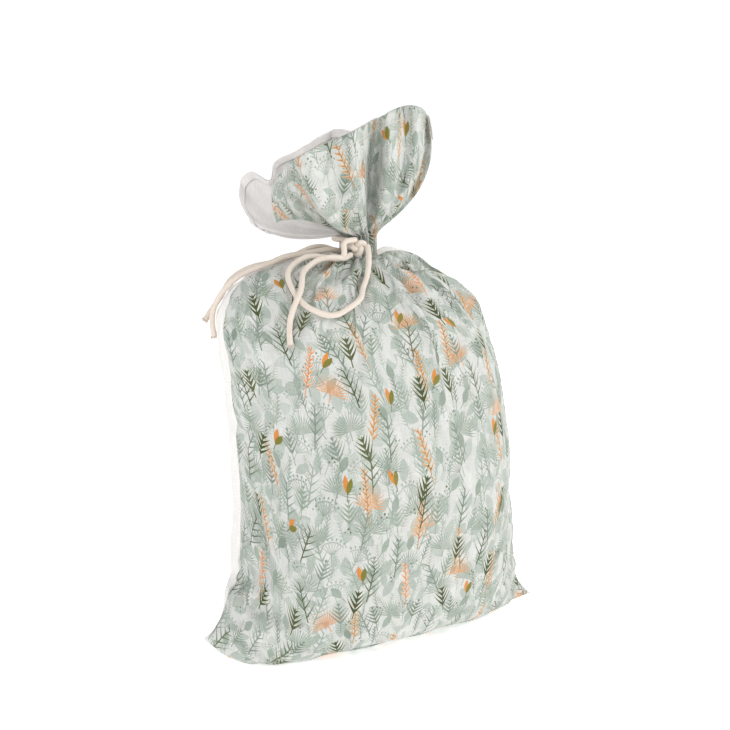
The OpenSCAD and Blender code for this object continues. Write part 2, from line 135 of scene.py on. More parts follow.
def body_point(angle, up, side_pull=0.0, face_pull=0.0, side_limit=9.0):
    """Outside of the filled pouch; angles in degrees, 180 at the left seam, 90 at the front."""
    angle, up = np.broadcast_arrays(np.asarray(angle, float), np.asarray(up, float))
    shape = angle.shape
    angle, up = angle.ravel(), up.ravel()
    c, s = np.cos(np.radians(angle)), np.sin(np.radians(angle))
    face = smooth_rows(FACE_LINE, up)
    seam = np.where((c < 0)[:, None], smooth_rows(LEFT_LINE, up), smooth_rows(RIGHT_LINE, up))
    power = np.interp(up, [0, 0.12, 0.35, 0.8, 1], [0.7, 0.7, 0.82, 0.85, 1])
    share = np.maximum(0, (np.abs(c) - 0.6) / 0.4) ** 2
    z = np.maximum(0, face[:, 2] + (seam[:, 2] - face[:, 2]) * share)
    reach = np.minimum(seam[:, 1] - side_pull, side_limit)
    x = NECK_X * (z / TOP) ** 1.3 + reach * np.sign(c) * np.abs(c) ** power
    y = -(face[:, 1] - face_pull) * np.sign(s) * np.abs(s) ** power
    return np.stack([x, y, z], 1).reshape(shape + (3,))


def skewed(points):
    """Turns the base a little to the back at the right."""
    t = np.clip(1 - points[..., 2] / SKEW_TOP, 0, 1)
    return points + np.stack([0 * t, SKEW * points[..., 0] * t * t * (3 - 2 * t), 0 * t], -1)


def unit(v):
    """Vectors made one long."""
    return v / np.maximum(np.linalg.norm(v, axis=-1, keepdims=True), 1e-12)


def body_outward(angle, up):
    """Direction straight out of the filled pouch."""
    angle, up = np.asarray(angle, float), np.asarray(up, float)
    around = body_point(angle - 2, up) - body_point(angle + 2, up)
    rise = body_point(angle, np.minimum(1, up + 0.01)) - body_point(angle, np.maximum(0, up - 0.01))
    return unit(np.cross(around, rise))


def length_along(points):
    """Length run from the first point to each point."""
    return np.concatenate([[0], np.cumsum(np.linalg.norm(np.diff(points, axis=0), axis=1))])


def eased(values, passes):
    """Each value drawn towards its two neighbours; the first and the last stay."""
    for _ in range(passes):
        values[1:-1] = values[1:-1] * 0.5 + (values[:-2] + values[2:]) * 0.25
    return values


# ---------------------------------------------------------------- the pouch's cloth, one grid for each panel
COLUMNS, BODY_ROWS, BAND_ROWS, FLAP_ROWS = 84, 92, 5, 27
BODY_LENGTH, BAND_LENGTH = 0.368, 0.018
dice = np.random.default_rng(7)
across = np.linspace(0, 1, COLUMNS + 1)
PLEATS, BROAD_FOLDS, FINE_FOLDS = 13, 6.3, 9.4


def wave(x):
    """Sine wave that repeats at every whole number."""
    return np.sin(2 * np.pi * x)


# the gathers at the neck, a little uneven
gathers = wave(PLEATS * across + 0.25 + 0.18 * wave(2.3 * across)) * (0.85 + 0.15 * wave(3.4 * across + 0.1))


def gather_depth(wavelength, ratio):
    """Height of a wave that takes up this much extra cloth."""
    return 0.235 * wavelength * np.sqrt(np.maximum(0, ratio**2 - 1))


def body_grid(back):
    """Rows from the bottom seam to the neck: points, and the flat width of each row."""
    rows, widths = [], []
    ring_angle = 180 - 180 * np.linspace(0, 1, 361)
    phase = dice.random(6)
    swell = np.interp(across, np.linspace(0, 1, 8), 0.55 + 0.75 * dice.random(8))
    edge_fade = np.clip(np.minimum(across, 1 - across) * 9, 0, 1)
    limit, gain = (10.5 * MM, 1.2) if back else (9 * MM, 1)
    for j in range(BODY_ROWS + 1):
        up = j / BODY_ROWS
        run = length_along(body_point(ring_angle, up))
        angle = np.interp(across * run[-1], run, ring_angle)
        out = body_outward(np.clip(angle, 3, 177), up)
        width = max(CLOTH_WIDTH, run[-1] * 1.01)
        ratio = width / run[-1]
        below_neck = (1 - up) * BODY_LENGTH
        neck_share = math.exp(-below_neck / 0.020)
        pleat = gather_depth(run[-1] / PLEATS, ratio) * gathers * neck_share
        slack = np.interp(below_neck, [0, .09, .2], [1.1, .9, .5]) * (1 - neck_share)
        fold = gather_depth(run[-1] / BROAD_FOLDS, ratio) * slack * edge_fade
        broad, fine = wave(BROAD_FOLDS * across + phase[0]), wave(FINE_FOLDS * across + phase[1])
        fold = fold * (broad * swell + 0.4 * fine)
        fold = limit * np.tanh((fold + 0.4 * np.abs(fold).max()) * gain / limit)
        lift = pleat * (0.35 + 0.65 * edge_fade) + np.maximum(fold, 0)
        rows.append(body_point(angle, up) + out * lift[:, None])
        widths.append(width)
    grid = np.array(rows)
    grid[:, 0, 1] = grid[:, -1, 1] = 0
    grid[:, :, 1] = np.minimum(grid[:, :, 1], 0)
    grid[0, :, 1] = 0
    if back:
        grid = grid * [1, -1, 1]
    return skewed(grid), widths


def neck_ring(valley, height, back):
    """One gathered row round the neck; valley is how near its middle the pleats reach."""
    radius_low, radius_high = valley, NECK_R - CLOTH
    angle = np.radians(180 + 180 * across)
    radius = (radius_low + radius_high) / 2 + (radius_high - radius_low) / 2 * gathers
    ring = np.stack([NECK_X + radius * np.cos(angle), radius * np.sin(angle), np.full_like(angle, height)], 1)
    return ring * [1, -1, 1] if back else ring


# share of the way across, and how many mm the flap stands out of its smooth line
FRONT_FOLDS = np.array([
    [0, 0], [.07, 4], [.15, -5], [.21, -8], [.29, 7], [.38, -4], [.48, 7], [.58, -9], [.66, 7],
    [.75, -8], [.86, 8], [.94, -3], [1, 1]]) * [1, MM]
BACK_FOLDS = np.array([
    [0, 0], [.1, 3], [.22, -2], [.35, 5], [.45, -6], [.56, 6], [.67, -6], [.78, 6], [.89, -5],
    [1, 2]]) * [1, MM]
FOLD_WAY = np.array([-0.5, -0.866, 0])


def flap_grid(rim_rows, middle_rows, folds, back):
    """The flap above its casing: curves from the foot over the middle to the rim, with folds."""
    sign = 1 if back else -1
    rows = []
    foot_angle = np.radians(180 + 180 * across)
    rim = smooth_rows(rim_rows, across)[:, 1:]
    middle = smooth_rows(middle_rows, across)[:, 1:]
    fold = smooth_rows(folds, across)[:, 1]
    ring = np.stack([np.cos(foot_angle), -sign * np.sin(foot_angle), 0 * across], 1) * (NECK_R - 4.5 * MM)
    bend = 2 * middle - (ring + rim) / 2
    for j in range(1, FLAP_ROWS + 1):
        up = j / FLAP_ROWS
        pleat = 1 + 0.38 * gathers * (1 - up) ** 3
        point = (1 - up)**2 * ring * pleat[:, None] + 2 * up * (1 - up) * bend + up**2 * rim
        small = 2.4 * MM * gathers * up * (1 - up) + MM * up * wave(11 * across + 0.3)
        point = point + FOLD_WAY * (fold * min(1, 1.8 * up) + small)[:, None]
        point[:, 1] = sign * np.maximum(0.8 * MM, sign * point[:, 1])
        rows.append(point + [NECK_X, 0, FOOT])
    return np.array(rows)


def panel_grid(rim_rows, middle_rows, folds, back):
    """A whole panel from bottom seam to rim: its points, and their places on the flat cloth."""
    body, widths = body_grid(back)
    band_share = np.arange(1, BAND_ROWS + 1) / BAND_ROWS
    flap_share = np.arange(1, FLAP_ROWS + 1) / FLAP_ROWS
    band = [neck_ring(9.4 * MM, TOP + (FOOT - TOP) * share, back) for share in band_share]
    body[-1] = neck_ring(9.2 * MM, TOP, back)
    grid = np.concatenate([body, np.array(band), flap_grid(rim_rows, middle_rows, folds, back)])
    widths = widths + [CLOTH_WIDTH] * (BAND_ROWS + FLAP_ROWS)
    height = np.concatenate([np.linspace(0, BODY_LENGTH, BODY_ROWS + 1),
                             BODY_LENGTH + BAND_LENGTH * band_share,
                             BODY_LENGTH + BAND_LENGTH + FLAP_LENGTH * flap_share])
    flat = np.stack([(across[None, :] - 0.5) * np.array(widths)[:, None],
                     np.repeat(height[:, None], COLUMNS + 1, 1)], 2)
    return grid, flat


front, flat_front = panel_grid(FRONT_RIM, FRONT_MIDDLE, FRONT_FOLDS, False)
rear, flat_rear = panel_grid(BACK_RIM, BACK_MIDDLE, BACK_FOLDS, True)
ROWS = len(front)


def mesh_object(name, points, faces, smooth=True):
    """A new object in the scene."""
    mesh = bpy.data.meshes.new(name)
    mesh.from_pydata([tuple(p) for p in points], [], [tuple(f) for f in faces])
    mesh.update()
    if smooth:
        mesh.polygons.foreach_set("use_smooth", [True] * len(mesh.polygons))
    obj = bpy.data.objects.new(name, mesh)
    scene.collection.objects.link(obj)
    return obj


def quads(index, flip):
    """Faces between the rows and columns of a grid of point numbers."""
    a, b, c, d = index[:-1, :-1], index[:-1, 1:], index[1:, 1:], index[1:, :-1]
    order = (d, c, b, a) if flip else (a, b, c, d)
    return np.stack(order, 2).reshape(-1, 4).tolist()


def tube_faces(rings, sides, start=0, closed=False, flip=False):
    """Faces round a row of rings, with a cap at both ends unless it closes on itself."""
    way = -1 if flip else 1
    faces = []
    for r in range(rings if closed else rings - 1):
        here, ahead = start + r * sides, start + (r + 1) % rings * sides
        for c in range(sides):
            a, b = (c, (c + 1) % sides)[::way]
            faces.append((here + a, here + b, ahead + b, ahead + a))
    if not closed:
        last = start + (rings - 1) * sides
        faces.append(tuple(start + c for c in range(sides))[::-way])
        faces.append(tuple(last + c for c in range(sides))[::way])
    return faces


def set_uv(obj, places):
    """Gives every face corner its point's place on the flat cloth."""
    corner = np.zeros(len(obj.data.loops), np.int32)
    obj.data.loops.foreach_get("vertex_index", corner)
    layer = obj.data.uv_layers.new(name="UVMap")
    layer.data.foreach_set("uv", places.reshape(-1, 2)[corner].astype(np.float32).ravel())


# ---------------------------------------------------------------- the filling, which the cloth rests on
FILL_PULL, FILL_SIDE_PULL = 2.5 * MM, 4 * MM
rings = []
for up in np.linspace(0.045, 0.965, 34):
    ring = body_point(np.arange(0, 360, 6), up, FILL_SIDE_PULL, FILL_PULL, HALF)
    ring[:, 2] = 3 * MM + ring[:, 2] * (TOP - 8 * MM) / TOP
    rings.append(ring)
rings = skewed(np.array(rings))
lumps = dice.random(rings.shape[:2])
lumps = (lumps + np.roll(lumps, 1, 0) + np.roll(lumps, 1, 1) + np.roll(lumps, -1, 1)) / 4 - 0.5
middle = rings.mean(1, keepdims=True)
rings = rings + unit((rings - middle) * [1, 1, 0]) * (lumps * 3 * MM)[:, :, None]
filling = mesh_object("filling", rings.reshape(-1, 3), tube_faces(*rings.shape[:2], flip=True))

# ---------------------------------------------------------------- both panels settle as one sewn bag
SETTLING_FRAMES, CLOTH_GAP = 45, 1.5 * MM
index_front = np.arange(ROWS * (COLUMNS + 1)).reshape(ROWS, COLUMNS + 1)
index_rear = index_front + ROWS * (COLUMNS + 1)
sewn_rows = BODY_ROWS + 1
index_rear[:sewn_rows, 0] = index_front[:sewn_rows, 0]
index_rear[:sewn_rows, -1] = index_front[:sewn_rows, -1]
index_rear[0, :] = index_front[0, :]
used = np.unique(np.concatenate([index_front.ravel(), index_rear.ravel()]))
compact = np.full(2 * ROWS * (COLUMNS + 1), -1)
compact[used] = np.arange(len(used))
index_front, index_rear = compact[index_front], compact[index_rear]
start_points = np.concatenate([front.reshape(-1, 3), rear.reshape(-1, 3)])[used]
flat_points = np.concatenate([
    np.insert(flat_front.reshape(-1, 2), 1, -MM, axis=1),
    np.insert(flat_rear.reshape(-1, 2), 1, MM, axis=1)])[used]
bag_faces = quads(index_front, False) + quads(index_rear, True)


def hold(row):
    """How firmly a row keeps its first place: wholly at the casing, loosely over the filling."""
    if row <= BODY_ROWS:
        below = (BODY_ROWS - row) / BODY_ROWS * BODY_LENGTH
        firm = 0.1 + 0.9 * math.exp(-((below / 0.010) ** 2))
        return max(firm, 0.35) if row < 14 else firm
    if row <= BODY_ROWS + BAND_ROWS:
        return 1
    above = (row - BODY_ROWS - BAND_ROWS) / FLAP_ROWS * FLAP_LENGTH
    return 0.45 + 0.55 * math.exp(-((above / 0.012) ** 2))


def simulate(frames):
    """Lets the sewn bag settle on its filling, and gives its points."""
    bag = mesh_object("bag", start_points, bag_faces)
    bag.shape_key_add(name="Basis")
    key = bag.shape_key_add(name="flat")
    key.data.foreach_set("co", flat_points.astype(np.float32).ravel())
    pins = bag.vertex_groups.new(name="held")
    weight = np.zeros(len(start_points))
    for index in (index_front, index_rear):
        for r in range(ROWS):
            weight[index[r]] = np.maximum(weight[index[r]], hold(r))
    for i, firm in enumerate(weight):
        pins.add([i], float(firm), "REPLACE")
    filling.modifiers.new("solid", "COLLISION")
    filling.collision.thickness_outer = CLOTH_GAP
    filling.collision.cloth_friction = 8
    cloth = bag.modifiers.new("cloth", "CLOTH")
    fabric = cloth.settings
    fabric.quality, fabric.mass, fabric.air_damping = 7, 0.16, 2.0
    fabric.tension_stiffness = fabric.compression_stiffness = 18
    fabric.shear_stiffness, fabric.bending_stiffness = 6, 0.35
    fabric.tension_damping = fabric.compression_damping = fabric.shear_damping = 8
    fabric.bending_damping = 1
    fabric.vertex_group_mass, fabric.pin_stiffness = pins.name, 1.0
    fabric.rest_shape_key = key
    cloth.collision_settings.use_collision = True
    cloth.collision_settings.distance_min = CLOTH_GAP
    cloth.collision_settings.collision_quality = 2
    cloth.collision_settings.use_self_collision = False
    for f in range(1, frames + 1):
        scene.frame_set(f)
    shown = bag.evaluated_get(bpy.context.evaluated_depsgraph_get())
    out = np.zeros(len(start_points) * 3, np.float32)
    shown.data.vertices.foreach_get("co", out)
    scene.frame_set(1)
    bpy.data.objects.remove(bag)
    filling.modifiers.clear()
    return out.reshape(-1, 3).astype(float)


settled = simulate(SETTLING_FRAMES)
settled[:, 2] = np.maximum(settled[:, 2], LOWEST)
front, rear = settled[index_front], settled[index_rear]


def print_places(grid, flat):
    """Where the print lies on each row: cloth hidden in the gathers takes none of it."""
    step = eased(np.linalg.norm(np.diff(grid, axis=1), axis=2), 6)
    run = np.concatenate([np.zeros((len(grid), 1)), np.cumsum(step, axis=1)], 1)
    run -= run[:, COLUMNS // 2][:, None]
    return np.stack([run, flat[:, :, 1]], 2)


# pressed and pulled creases, in millimetres over the cloth: from x, y to x, y, width, depth
FRONT_CREASES = [
    (4, 364, 40, 286, 4.5, 6.5), (10, 364, 76, 298, 4.5, 5.0), (14, 362, 104, 322, 4, 3.6),
    (-6, 362, -30, 296, 5, 3.0), (-10, 362, -84, 318, 4.5, 3.2), (78, 306, 112, 240, 6, 2.0),
    (-62, 330, -118, 268, 6, 2.0), (0, 350, 10, 270, 6, 2.0), (-100, 306, -126, 276, 4.5, 2.4),
    (-138, 218, -128, 150, 4, 2.4), (-127, 226, -118, 130, 4, 2.0), (-142, 150, -124, 84, 4.5, 2.4),
    (-112, 176, -104, 96, 5, 1.4), (134, 190, 116, 132, 5, 2.0), (140, 120, 112, 92, 5, 2.0),
    (-150, 6, -96, 44, 5, 3.0), (-150, 4, -84, 18, 4.5, 2.6), (-148, 10, -122, 78, 5, 2.6),
    (150, 6, 96, 44, 5, 3.0), (150, 4, 84, 18, 4.5, 2.6), (148, 10, 124, 70, 5, 2.6),
    (-60, 30, 10, 22, 6, 1.6), (20, 24, 70, 34, 6, 1.6), (-40, 190, -10, 120, 9, 1.2),
    (40, 210, 62, 120, 9, 1.2), (-84, 250, -70, 160, 8, 1.2), (88, 180, 60, 90, 8, 1.2),
    (10, 236, 30, 150, 10, 1.0), (-20, 96, 20, 60, 8, 1.2)]
BACK_CREASES = [(-x0, y0, -x1, y1, w, d) for x0, y0, x1, y1, w, d in FRONT_CREASES]


def creased(grid, flat, creases, sign):
    """Adds creases: a valley with a ridge along each of its sides."""
    along, rise = np.gradient(grid, axis=1), np.gradient(grid, axis=0)
    normal = unit(np.cross(along, rise)) * sign
    place = print_places(grid, flat) / MM
    push = np.zeros(grid.shape[:2])
    for x0, y0, x1, y1, width, depth in creases:
        start, span = np.array([x0, y0]), np.array([x1 - x0, y1 - y0], float)
        length = math.sqrt(span @ span)
        t = ((place - start) @ span) / (span @ span)
        bow = 0.06 * length * np.sin(np.pi * np.clip(t, 0, 1))
        d = ((place - start) @ np.array([-span[1], span[0]])) / length - bow
        fade = np.clip(np.sin(np.pi * np.clip(t * 0.9 + 0.12, 0, 1)), 0, 1) ** 0.7
        fade = fade * ((t > -0.13) & (t < 0.98))
        valley = -np.exp(-((d / width) ** 2))
        ridges = 0.75 * np.exp(-(((np.abs(d) - 2.0 * width) / (1.2 * width)) ** 2))
        push += depth * MM * fade * (valley + ridges)
    row = np.arange(len(grid))
    edge = np.clip(np.minimum(across, 1 - across) * 14, 0.25, 1)
    body = np.clip((BODY_ROWS - row) / 4, 0, 1) * np.clip(row / 3, 0, 1)
    below_neck = np.maximum(0, BODY_LENGTH * (1 - row / BODY_ROWS))
    deepest = -np.interp(below_neck, [0, 0.03, 0.07], [1.5, 4.5, 1.5]) * MM
    moved = grid + normal * (np.clip(push, deepest[:, None], 6 * MM) * edge * body[:, None])[:, :, None]
    moved[:, :, 2] = np.maximum(moved[:, :, 2], LOWEST)
    return moved


front = creased(front, flat_front, FRONT_CREASES, 1)
rear = creased(rear, flat_rear, BACK_CREASES, -1)
seam_middle = 0.5 * (front + rear)
for column in (0, -1):
    front[:sewn_rows, column] = rear[:sewn_rows, column] = seam_middle[:sewn_rows, column]
front[0], rear[0] = seam_middle[0], seam_middle[0]
settled[index_front], settled[index_rear] = front, rear


class Surface:
    """A grid of cloth, read at any place across (0 to 1) and up (in rows)."""

    def __init__(self, grid, back):
        self.grid = grid
        along, rise = np.gradient(grid, axis=1), np.gradient(grid, axis=0)
        self.normal = unit(np.cross(along, rise)) * (-1 if back else 1)

    def read(self, field, u, v):
        """A field's value between the grid's points."""
        rows, columns = field.shape[:2]
        x = np.clip(np.asarray(u, float) * (columns - 1), 0, columns - 1.0001)
        y = np.clip(np.asarray(v, float), 0, rows - 1.0001)
        i, j = x.astype(int), y.astype(int)
        fx, fy = (x - i)[..., None], (y - j)[..., None]
        return ((field[j, i] * (1 - fx) + field[j, i + 1] * fx) * (1 - fy)
                + (field[j + 1, i] * (1 - fx) + field[j + 1, i + 1] * fx) * fy)

    def outward(self, u, v):
        return unit(self.read(self.normal, *np.broadcast_arrays(u, v)))

    def at(self, u, v, lift):
        """Points this far out of the cloth."""
        return self.read(self.grid, *np.broadcast_arrays(u, v)) + self.outward(u, v) * lift


front_surface, rear_surface = Surface(front, False), Surface(rear, True)
TOP_ROW, BAND_TOP_ROW = BODY_ROWS, BODY_ROWS + BAND_ROWS
ROW_UP = FLAP_LENGTH / FLAP_ROWS

# ---------------------------------------------------------------- cords


def resample(points, step):
    """Even steps along a smooth curve through the points."""
    points = np.asarray(points, float)
    for evening in (False, True, True):
        run = length_along(points)
        at = np.linspace(0, run[-1], max(3, int(round(run[-1] / step)) + 1))
        if evening:
            points = np.stack([np.interp(at, run, points[:, k]) for k in range(3)], 1)
        else:
            points = smooth_rows(np.concatenate([run[:, None], points], 1), at)[:, 1:]
    return points


def frames_along(path):
    """Two directions square to a path, carried along it without twisting."""
    tangent = unit(np.gradient(path, axis=0))
    side = np.zeros_like(path)
    first = np.cross(tangent[0], [0, 0, 1.0])
    side[0] = unit(first if np.linalg.norm(first) > 0.1 else np.cross(tangent[0], [1.0, 0, 0]))
    for i in range(1, len(path)):
        carried = side[i - 1] - tangent[i] * np.dot(side[i - 1], tangent[i])
        side[i] = unit(carried)
    return side, np.cross(tangent, side)


CORD_SIDES, STRANDS = 24, 8
CORD_STEP, HIDDEN_STEP = 3 * MM, 0.8 * MM


def cord_tube(name, route, step=0.5 * MM, cut_end=False, closed=False):
    """A round braided cord, and its path; a cut end swells a little and rounds off."""
    path = resample(route, step)
    if closed:
        path = path[:-1]
    side, up = frames_along(path)
    run = length_along(path)
    turns = np.arange(CORD_SIDES) / CORD_SIDES
    angle = turns * 2 * np.pi
    lay = (2 * np.pi * run / (3.5 * CORD))[:, None]
    bump = np.maximum(np.abs(np.sin(STRANDS / 2 * angle + lay)), np.abs(np.sin(STRANDS / 2 * angle - lay)))
    size = CORD / 2 * (0.90 + 0.12 * bump)
    if cut_end:
        distance = run[-1] - run
        size *= (1 + 0.16 * np.exp(-((distance / (1.6 * MM)) ** 2)))[:, None]
        size *= (1 - 0.25 * np.exp(-((distance / (0.5 * MM)) ** 2)))[:, None]
    round_it = np.cos(angle)[:, None] * side[:, None, :] + np.sin(angle)[:, None] * up[:, None, :]
    ring = path[:, None, :] + size[:, :, None] * round_it
    obj = mesh_object(name, ring.reshape(-1, 3), tube_faces(len(path), CORD_SIDES, closed=closed))
    set_uv(obj, np.stack([np.tile(turns, len(path)), np.repeat(run, CORD_SIDES)], 1))
    return obj, path


cloth_tree = BVHTree.FromPolygons([tuple(p) for p in settled], bag_faces)


def lie_on_cloth(route, lifts, outward):
    """Lays a route on the settled cloth; lifts is each point's height over the cloth."""
    placed = np.array(route, float)
    for i, (p, n, lift) in enumerate(zip(route, outward, lifts)):
        hit = cloth_tree.ray_cast(Vector(p + n * 8 * MM), Vector(-n), 0.04)[0]
        if hit is not None:
            placed[i] = np.array(hit) + n * lift
    return placed


def on_cloth(rows):
    """Rows of angle, share up and height over the cloth, in mm, as points, normals and heights."""
    rows = np.array(rows, float)
    fine = smooth_rows(np.concatenate([np.arange(len(rows))[:, None], rows], 1),
                       np.linspace(0, len(rows) - 1, (len(rows) - 1) * 5 + 1))[:, 1:]
    angle, up, lift = fine[:, 0], fine[:, 1], fine[:, 2] * MM
    normal = body_outward(angle, up)
    points = body_point(angle, up) + normal * lift[:, None]
    placed = eased(lie_on_cloth(points, lift, normal), 4)
    for i in range(len(placed)):
        hit = cloth_tree.find_nearest(Vector(placed[i]))
        gap = np.dot(placed[i] - np.array(hit[0]), normal[i])
        need = min(lift[i], 2.5 * MM)
        if gap < need:
            placed[i] += normal[i] * (need - gap)
    return eased(placed, 2)


def points_mm(rows):
    """Rows of numbers in mm as points."""
    return np.array(rows, float) * MM


CLEAR = CORD / 2 + CLOTH
KNOT = points_mm([-31.0, -19.053, 292.0])
# in mm: reach of a cord inside the casing, in its mouth and wrapped round the neck, and the cords' heights
INNER_R, RING_R, WRAP_R = 6.4, 11.0, 17.7
SIDE_Z, BOW_Z = 288.1, 296.5

# angle round the pouch, share of the way up, and the cord's height over the cloth in mm
loop_rows = [[158, .95, 4.2], [146, .90, 3.4], [137, .865, 3.2], [131, .835, 3.2], [124, .803, 3.2],
             [115, .792, 3.2], [106, .82, 3.2], [100, .88, 3.4], [96, .945, 4.4]]
tail_rows = [[141, .955, 3.8], [138, .92, 3.4], [133, .885, 6.6], [130, .858, 8.4], [133, .826, 8.6],
             [135.5, .795, 6.0], [136.5, .765, 3.8], [136.5, .735, 3.2]]
front_rows = [[177, .95, 3.4], [181, .905, 3.4], [188, .865, 3.2], [194, .835, 3.2], [197, .805, 3.2],
              [199, .775, 3.2], [201, .745, 3.2], [202, .715, 3.2]]
rear_rows = [[194, .95, 3.6], [200, .91, 3.6], [205, .875, 3.4], [208, .845, 3.4], [209, .82, 3.6],
             [208, .795, 5.0], [206, .77, 7.0], [204, .75, 9.0]]


def from_knot(way, distance):
    """A point this many mm from the knot's middle."""
    return KNOT + unit(np.array(way)) * distance * MM


loop_start, loop_end = from_knot([-.45, -.35, .8], 7), from_knot([.95, -.3, .1], 7)
loop_route = np.concatenate([
    [loop_start], loop_start + points_mm([[-4, -3, 0.4], [-11, -3.5, -3.2], [-18, -1, -8.5]]),
    on_cloth(loop_rows), loop_end + points_mm([[3.6, -1.5, -2.4], [0, 0, 0]])])
tail_route = np.concatenate([[from_knot([-.75, -.1, -.6], 8)], on_cloth(tail_rows)])


def strand_route(y, rows):
    """Out of the casing's mouth at the left, and over the shoulder."""
    mouth = points_mm([-36.7, y, SIDE_Z])
    return np.concatenate([[mouth], mouth + points_mm([[-7, 1.6 * y, -.6]]), on_cloth(rows)])


def relax(route):
    """Smooths a cord's route and moves it clear of the cloth; its held first points stay."""
    held = 2
    route = eased(resample(route, CORD_STEP), 6)
    for _ in range(3):
        push = np.zeros_like(route)
        for i in range(held, len(route)):
            spot, normal, _, gap = cloth_tree.find_nearest(Vector(route[i]))
            away = Vector(route[i]) - spot
            if spot.z < FOOT and away.dot(normal) < CLEAR:
                push[i] = normal * (CLEAR - away.dot(normal))
            elif spot.z >= FOOT and gap < CLEAR:
                push[i] = away.normalized() * (CLEAR - gap)
        # the cord rides over the tops of the wrinkles
        size = np.linalg.norm(push, axis=1)
        wide = eased(np.max([np.roll(size, k) for k in range(-2, 3)], axis=0), 3)
        wide[:held] = 0
        route = eased(route + unit(eased(push, 3)) * wide[:, None], 2)
    return route


def ring_points(rows):
    """Points round the neck, from rows of reach in mm, angle and height in mm."""
    rows = np.array(rows, float)
    reach, angle, height = rows[:, 0] * MM, np.radians(rows[:, 1]), rows[:, 2] * MM
    return np.stack([NECK_X + reach * np.cos(angle), reach * np.sin(angle), height], 1)


WRAP_Z = BOW_Z - 4.8
bow_ring = [[INNER_R, a, BOW_Z] for a in range(212, 501, 12)]
bow_inside = ring_points(
    [[WRAP_R, 230, WRAP_Z], [WRAP_R, 220, WRAP_Z], [WRAP_R, 211, WRAP_Z + .3],
     [WRAP_R - .2, 203, WRAP_Z + 1.4], [WRAP_R - 1.6, 194, BOW_Z - 1], [RING_R + 1, 190, BOW_Z],
     [INNER_R + .3, 199, BOW_Z]] + bow_ring
    + [[INNER_R + .2, 153, BOW_Z], [RING_R, 165, BOW_Z], [WRAP_R - 1.6, 171, BOW_Z + .3],
       [WRAP_R + 2, 180, BOW_Z + .8], [WRAP_R + 3, 192, BOW_Z + .8], [WRAP_R + 2.4, 204, BOW_Z + .6],
       [WRAP_R + 1, 216, BOW_Z], [WRAP_R + .6, 228, BOW_Z - 1]])
side_mouth = points_mm([[-36, -2.35, SIDE_Z], [-32.5, -2.5, SIDE_Z], [-29.0, -3.0, SIDE_Z]])
side_ring = ring_points([[INNER_R, a, SIDE_Z] for a in range(210, 511, 12)])
side_inside = np.concatenate([side_mouth, side_ring, side_mouth[::-1] * [1, -1, 1]])

turn = np.linspace(0, 2 * np.pi, 61)
trefoil = np.stack([np.sin(turn) + 2 * np.sin(2 * turn), np.cos(turn) - 2 * np.cos(2 * turn),
                    -1.35 * np.sin(3 * turn)], 1)
knot_out = unit(np.array([-.5, -.866, .15]))
knot_side = unit(np.cross([0, 0, 1.0], knot_out))
knot_up = np.cross(knot_out, knot_side)
knot_route = KNOT + 1.62 * MM * trefoil @ np.array([knot_side, knot_up, knot_out])

loop_cord, loop_path = cord_tube("loop_cord", relax(loop_route))
tail_cord, tail_path = cord_tube("tail_cord", relax(tail_route), cut_end=True)
front_strand, front_path = cord_tube("front_strand", relax(strand_route(-2.35, front_rows)), cut_end=True)
rear_strand, rear_path = cord_tube("rear_strand", relax(strand_route(2.35, rear_rows)), cut_end=True)
bow_inner, _ = cord_tube("bow_cord_inner", bow_inside, HIDDEN_STEP)
side_inner, _ = cord_tube("side_cord_inner", side_inside, HIDDEN_STEP)
knot, _ = cord_tube("knot", knot_route, closed=True)


FIBRES, FIBRE_THICK = 90, 0.16 * MM


def frayed_end(name, path, seed):
    """Short loose three-sided fibres where a cord is cut."""
    hair_dice = np.random.default_rng(seed)
    tip, ahead = path[-1], unit(path[-1] - path[-6])
    across_a = unit(np.cross(ahead, [0.3, 0.2, 1.0]))
    across_b = np.cross(ahead, across_a)

    def aside(turn_angle):
        return across_a * math.cos(turn_angle) + across_b * math.sin(turn_angle)

    points, faces = [], []
    for _ in range(FIBRES):
        share = 1.05 * math.sqrt(hair_dice.random())
        outward = aside(hair_dice.random() * 2 * math.pi)
        base = tip + outward * share * CORD / 2 - ahead * 0.8 * MM
        lean = unit(ahead + outward * (0.05 + 0.45 * share) + hair_dice.normal(0, 0.16, 3))
        reach = (1.3 + 1.7 * hair_dice.random()) * MM
        bend = hair_dice.normal(0, 0.25, 3)
        faces += tube_faces(3, 3, start=len(points))
        spine = (base, base + lean * reach * 0.5, base + unit(lean + bend * 0.5) * reach)
        for spot, size in zip(spine, (1, 0.9, 0.35)):
            points += [spot + FIBRE_THICK * size * aside(k * 2 * math.pi / 3) for k in range(3)]
    return mesh_object(name, points, faces)


tail_fray = frayed_end("tail_fray", tail_path, 3)
front_fray = frayed_end("front_strand_fray", front_path, 4)
rear_fray = frayed_end("rear_strand_fray", rear_path, 5)

# ---------------------------------------------------------------- the two pieces of cloth


def cloth_grid(name, grid, flat, back, thickness):
    """Cloth of one thickness over a grid of points, with its outside on the grid."""
    index = np.arange(grid.shape[0] * grid.shape[1]).reshape(grid.shape[:2])
    obj = mesh_object(name, grid.reshape(-1, 3), quads(index, back))
    set_uv(obj, flat)
    thick = obj.modifiers.new("thickness", "SOLIDIFY")
    thick.thickness, thick.offset = thickness, -1
    return obj, thick


def cloth_piece(name, grid, flat, back):
    """One of the two main pieces, with its reverse in a second material."""
    obj, thick = cloth_grid(name, grid, print_places(grid, flat), back, CLOTH)
    thick.material_offset, thick.material_offset_rim = 1, 1
    smooth = obj.modifiers.new("smooth", "SUBSURF")
    smooth.levels = smooth.render_levels = 1
    smooth.boundary_smooth = "PRESERVE_CORNERS"
    obj.modifiers.move(1, 0)
    return obj


front_cloth = cloth_piece("front_cloth", front, flat_front, False)
back_cloth = cloth_piece("back_cloth", rear, flat_rear, True)


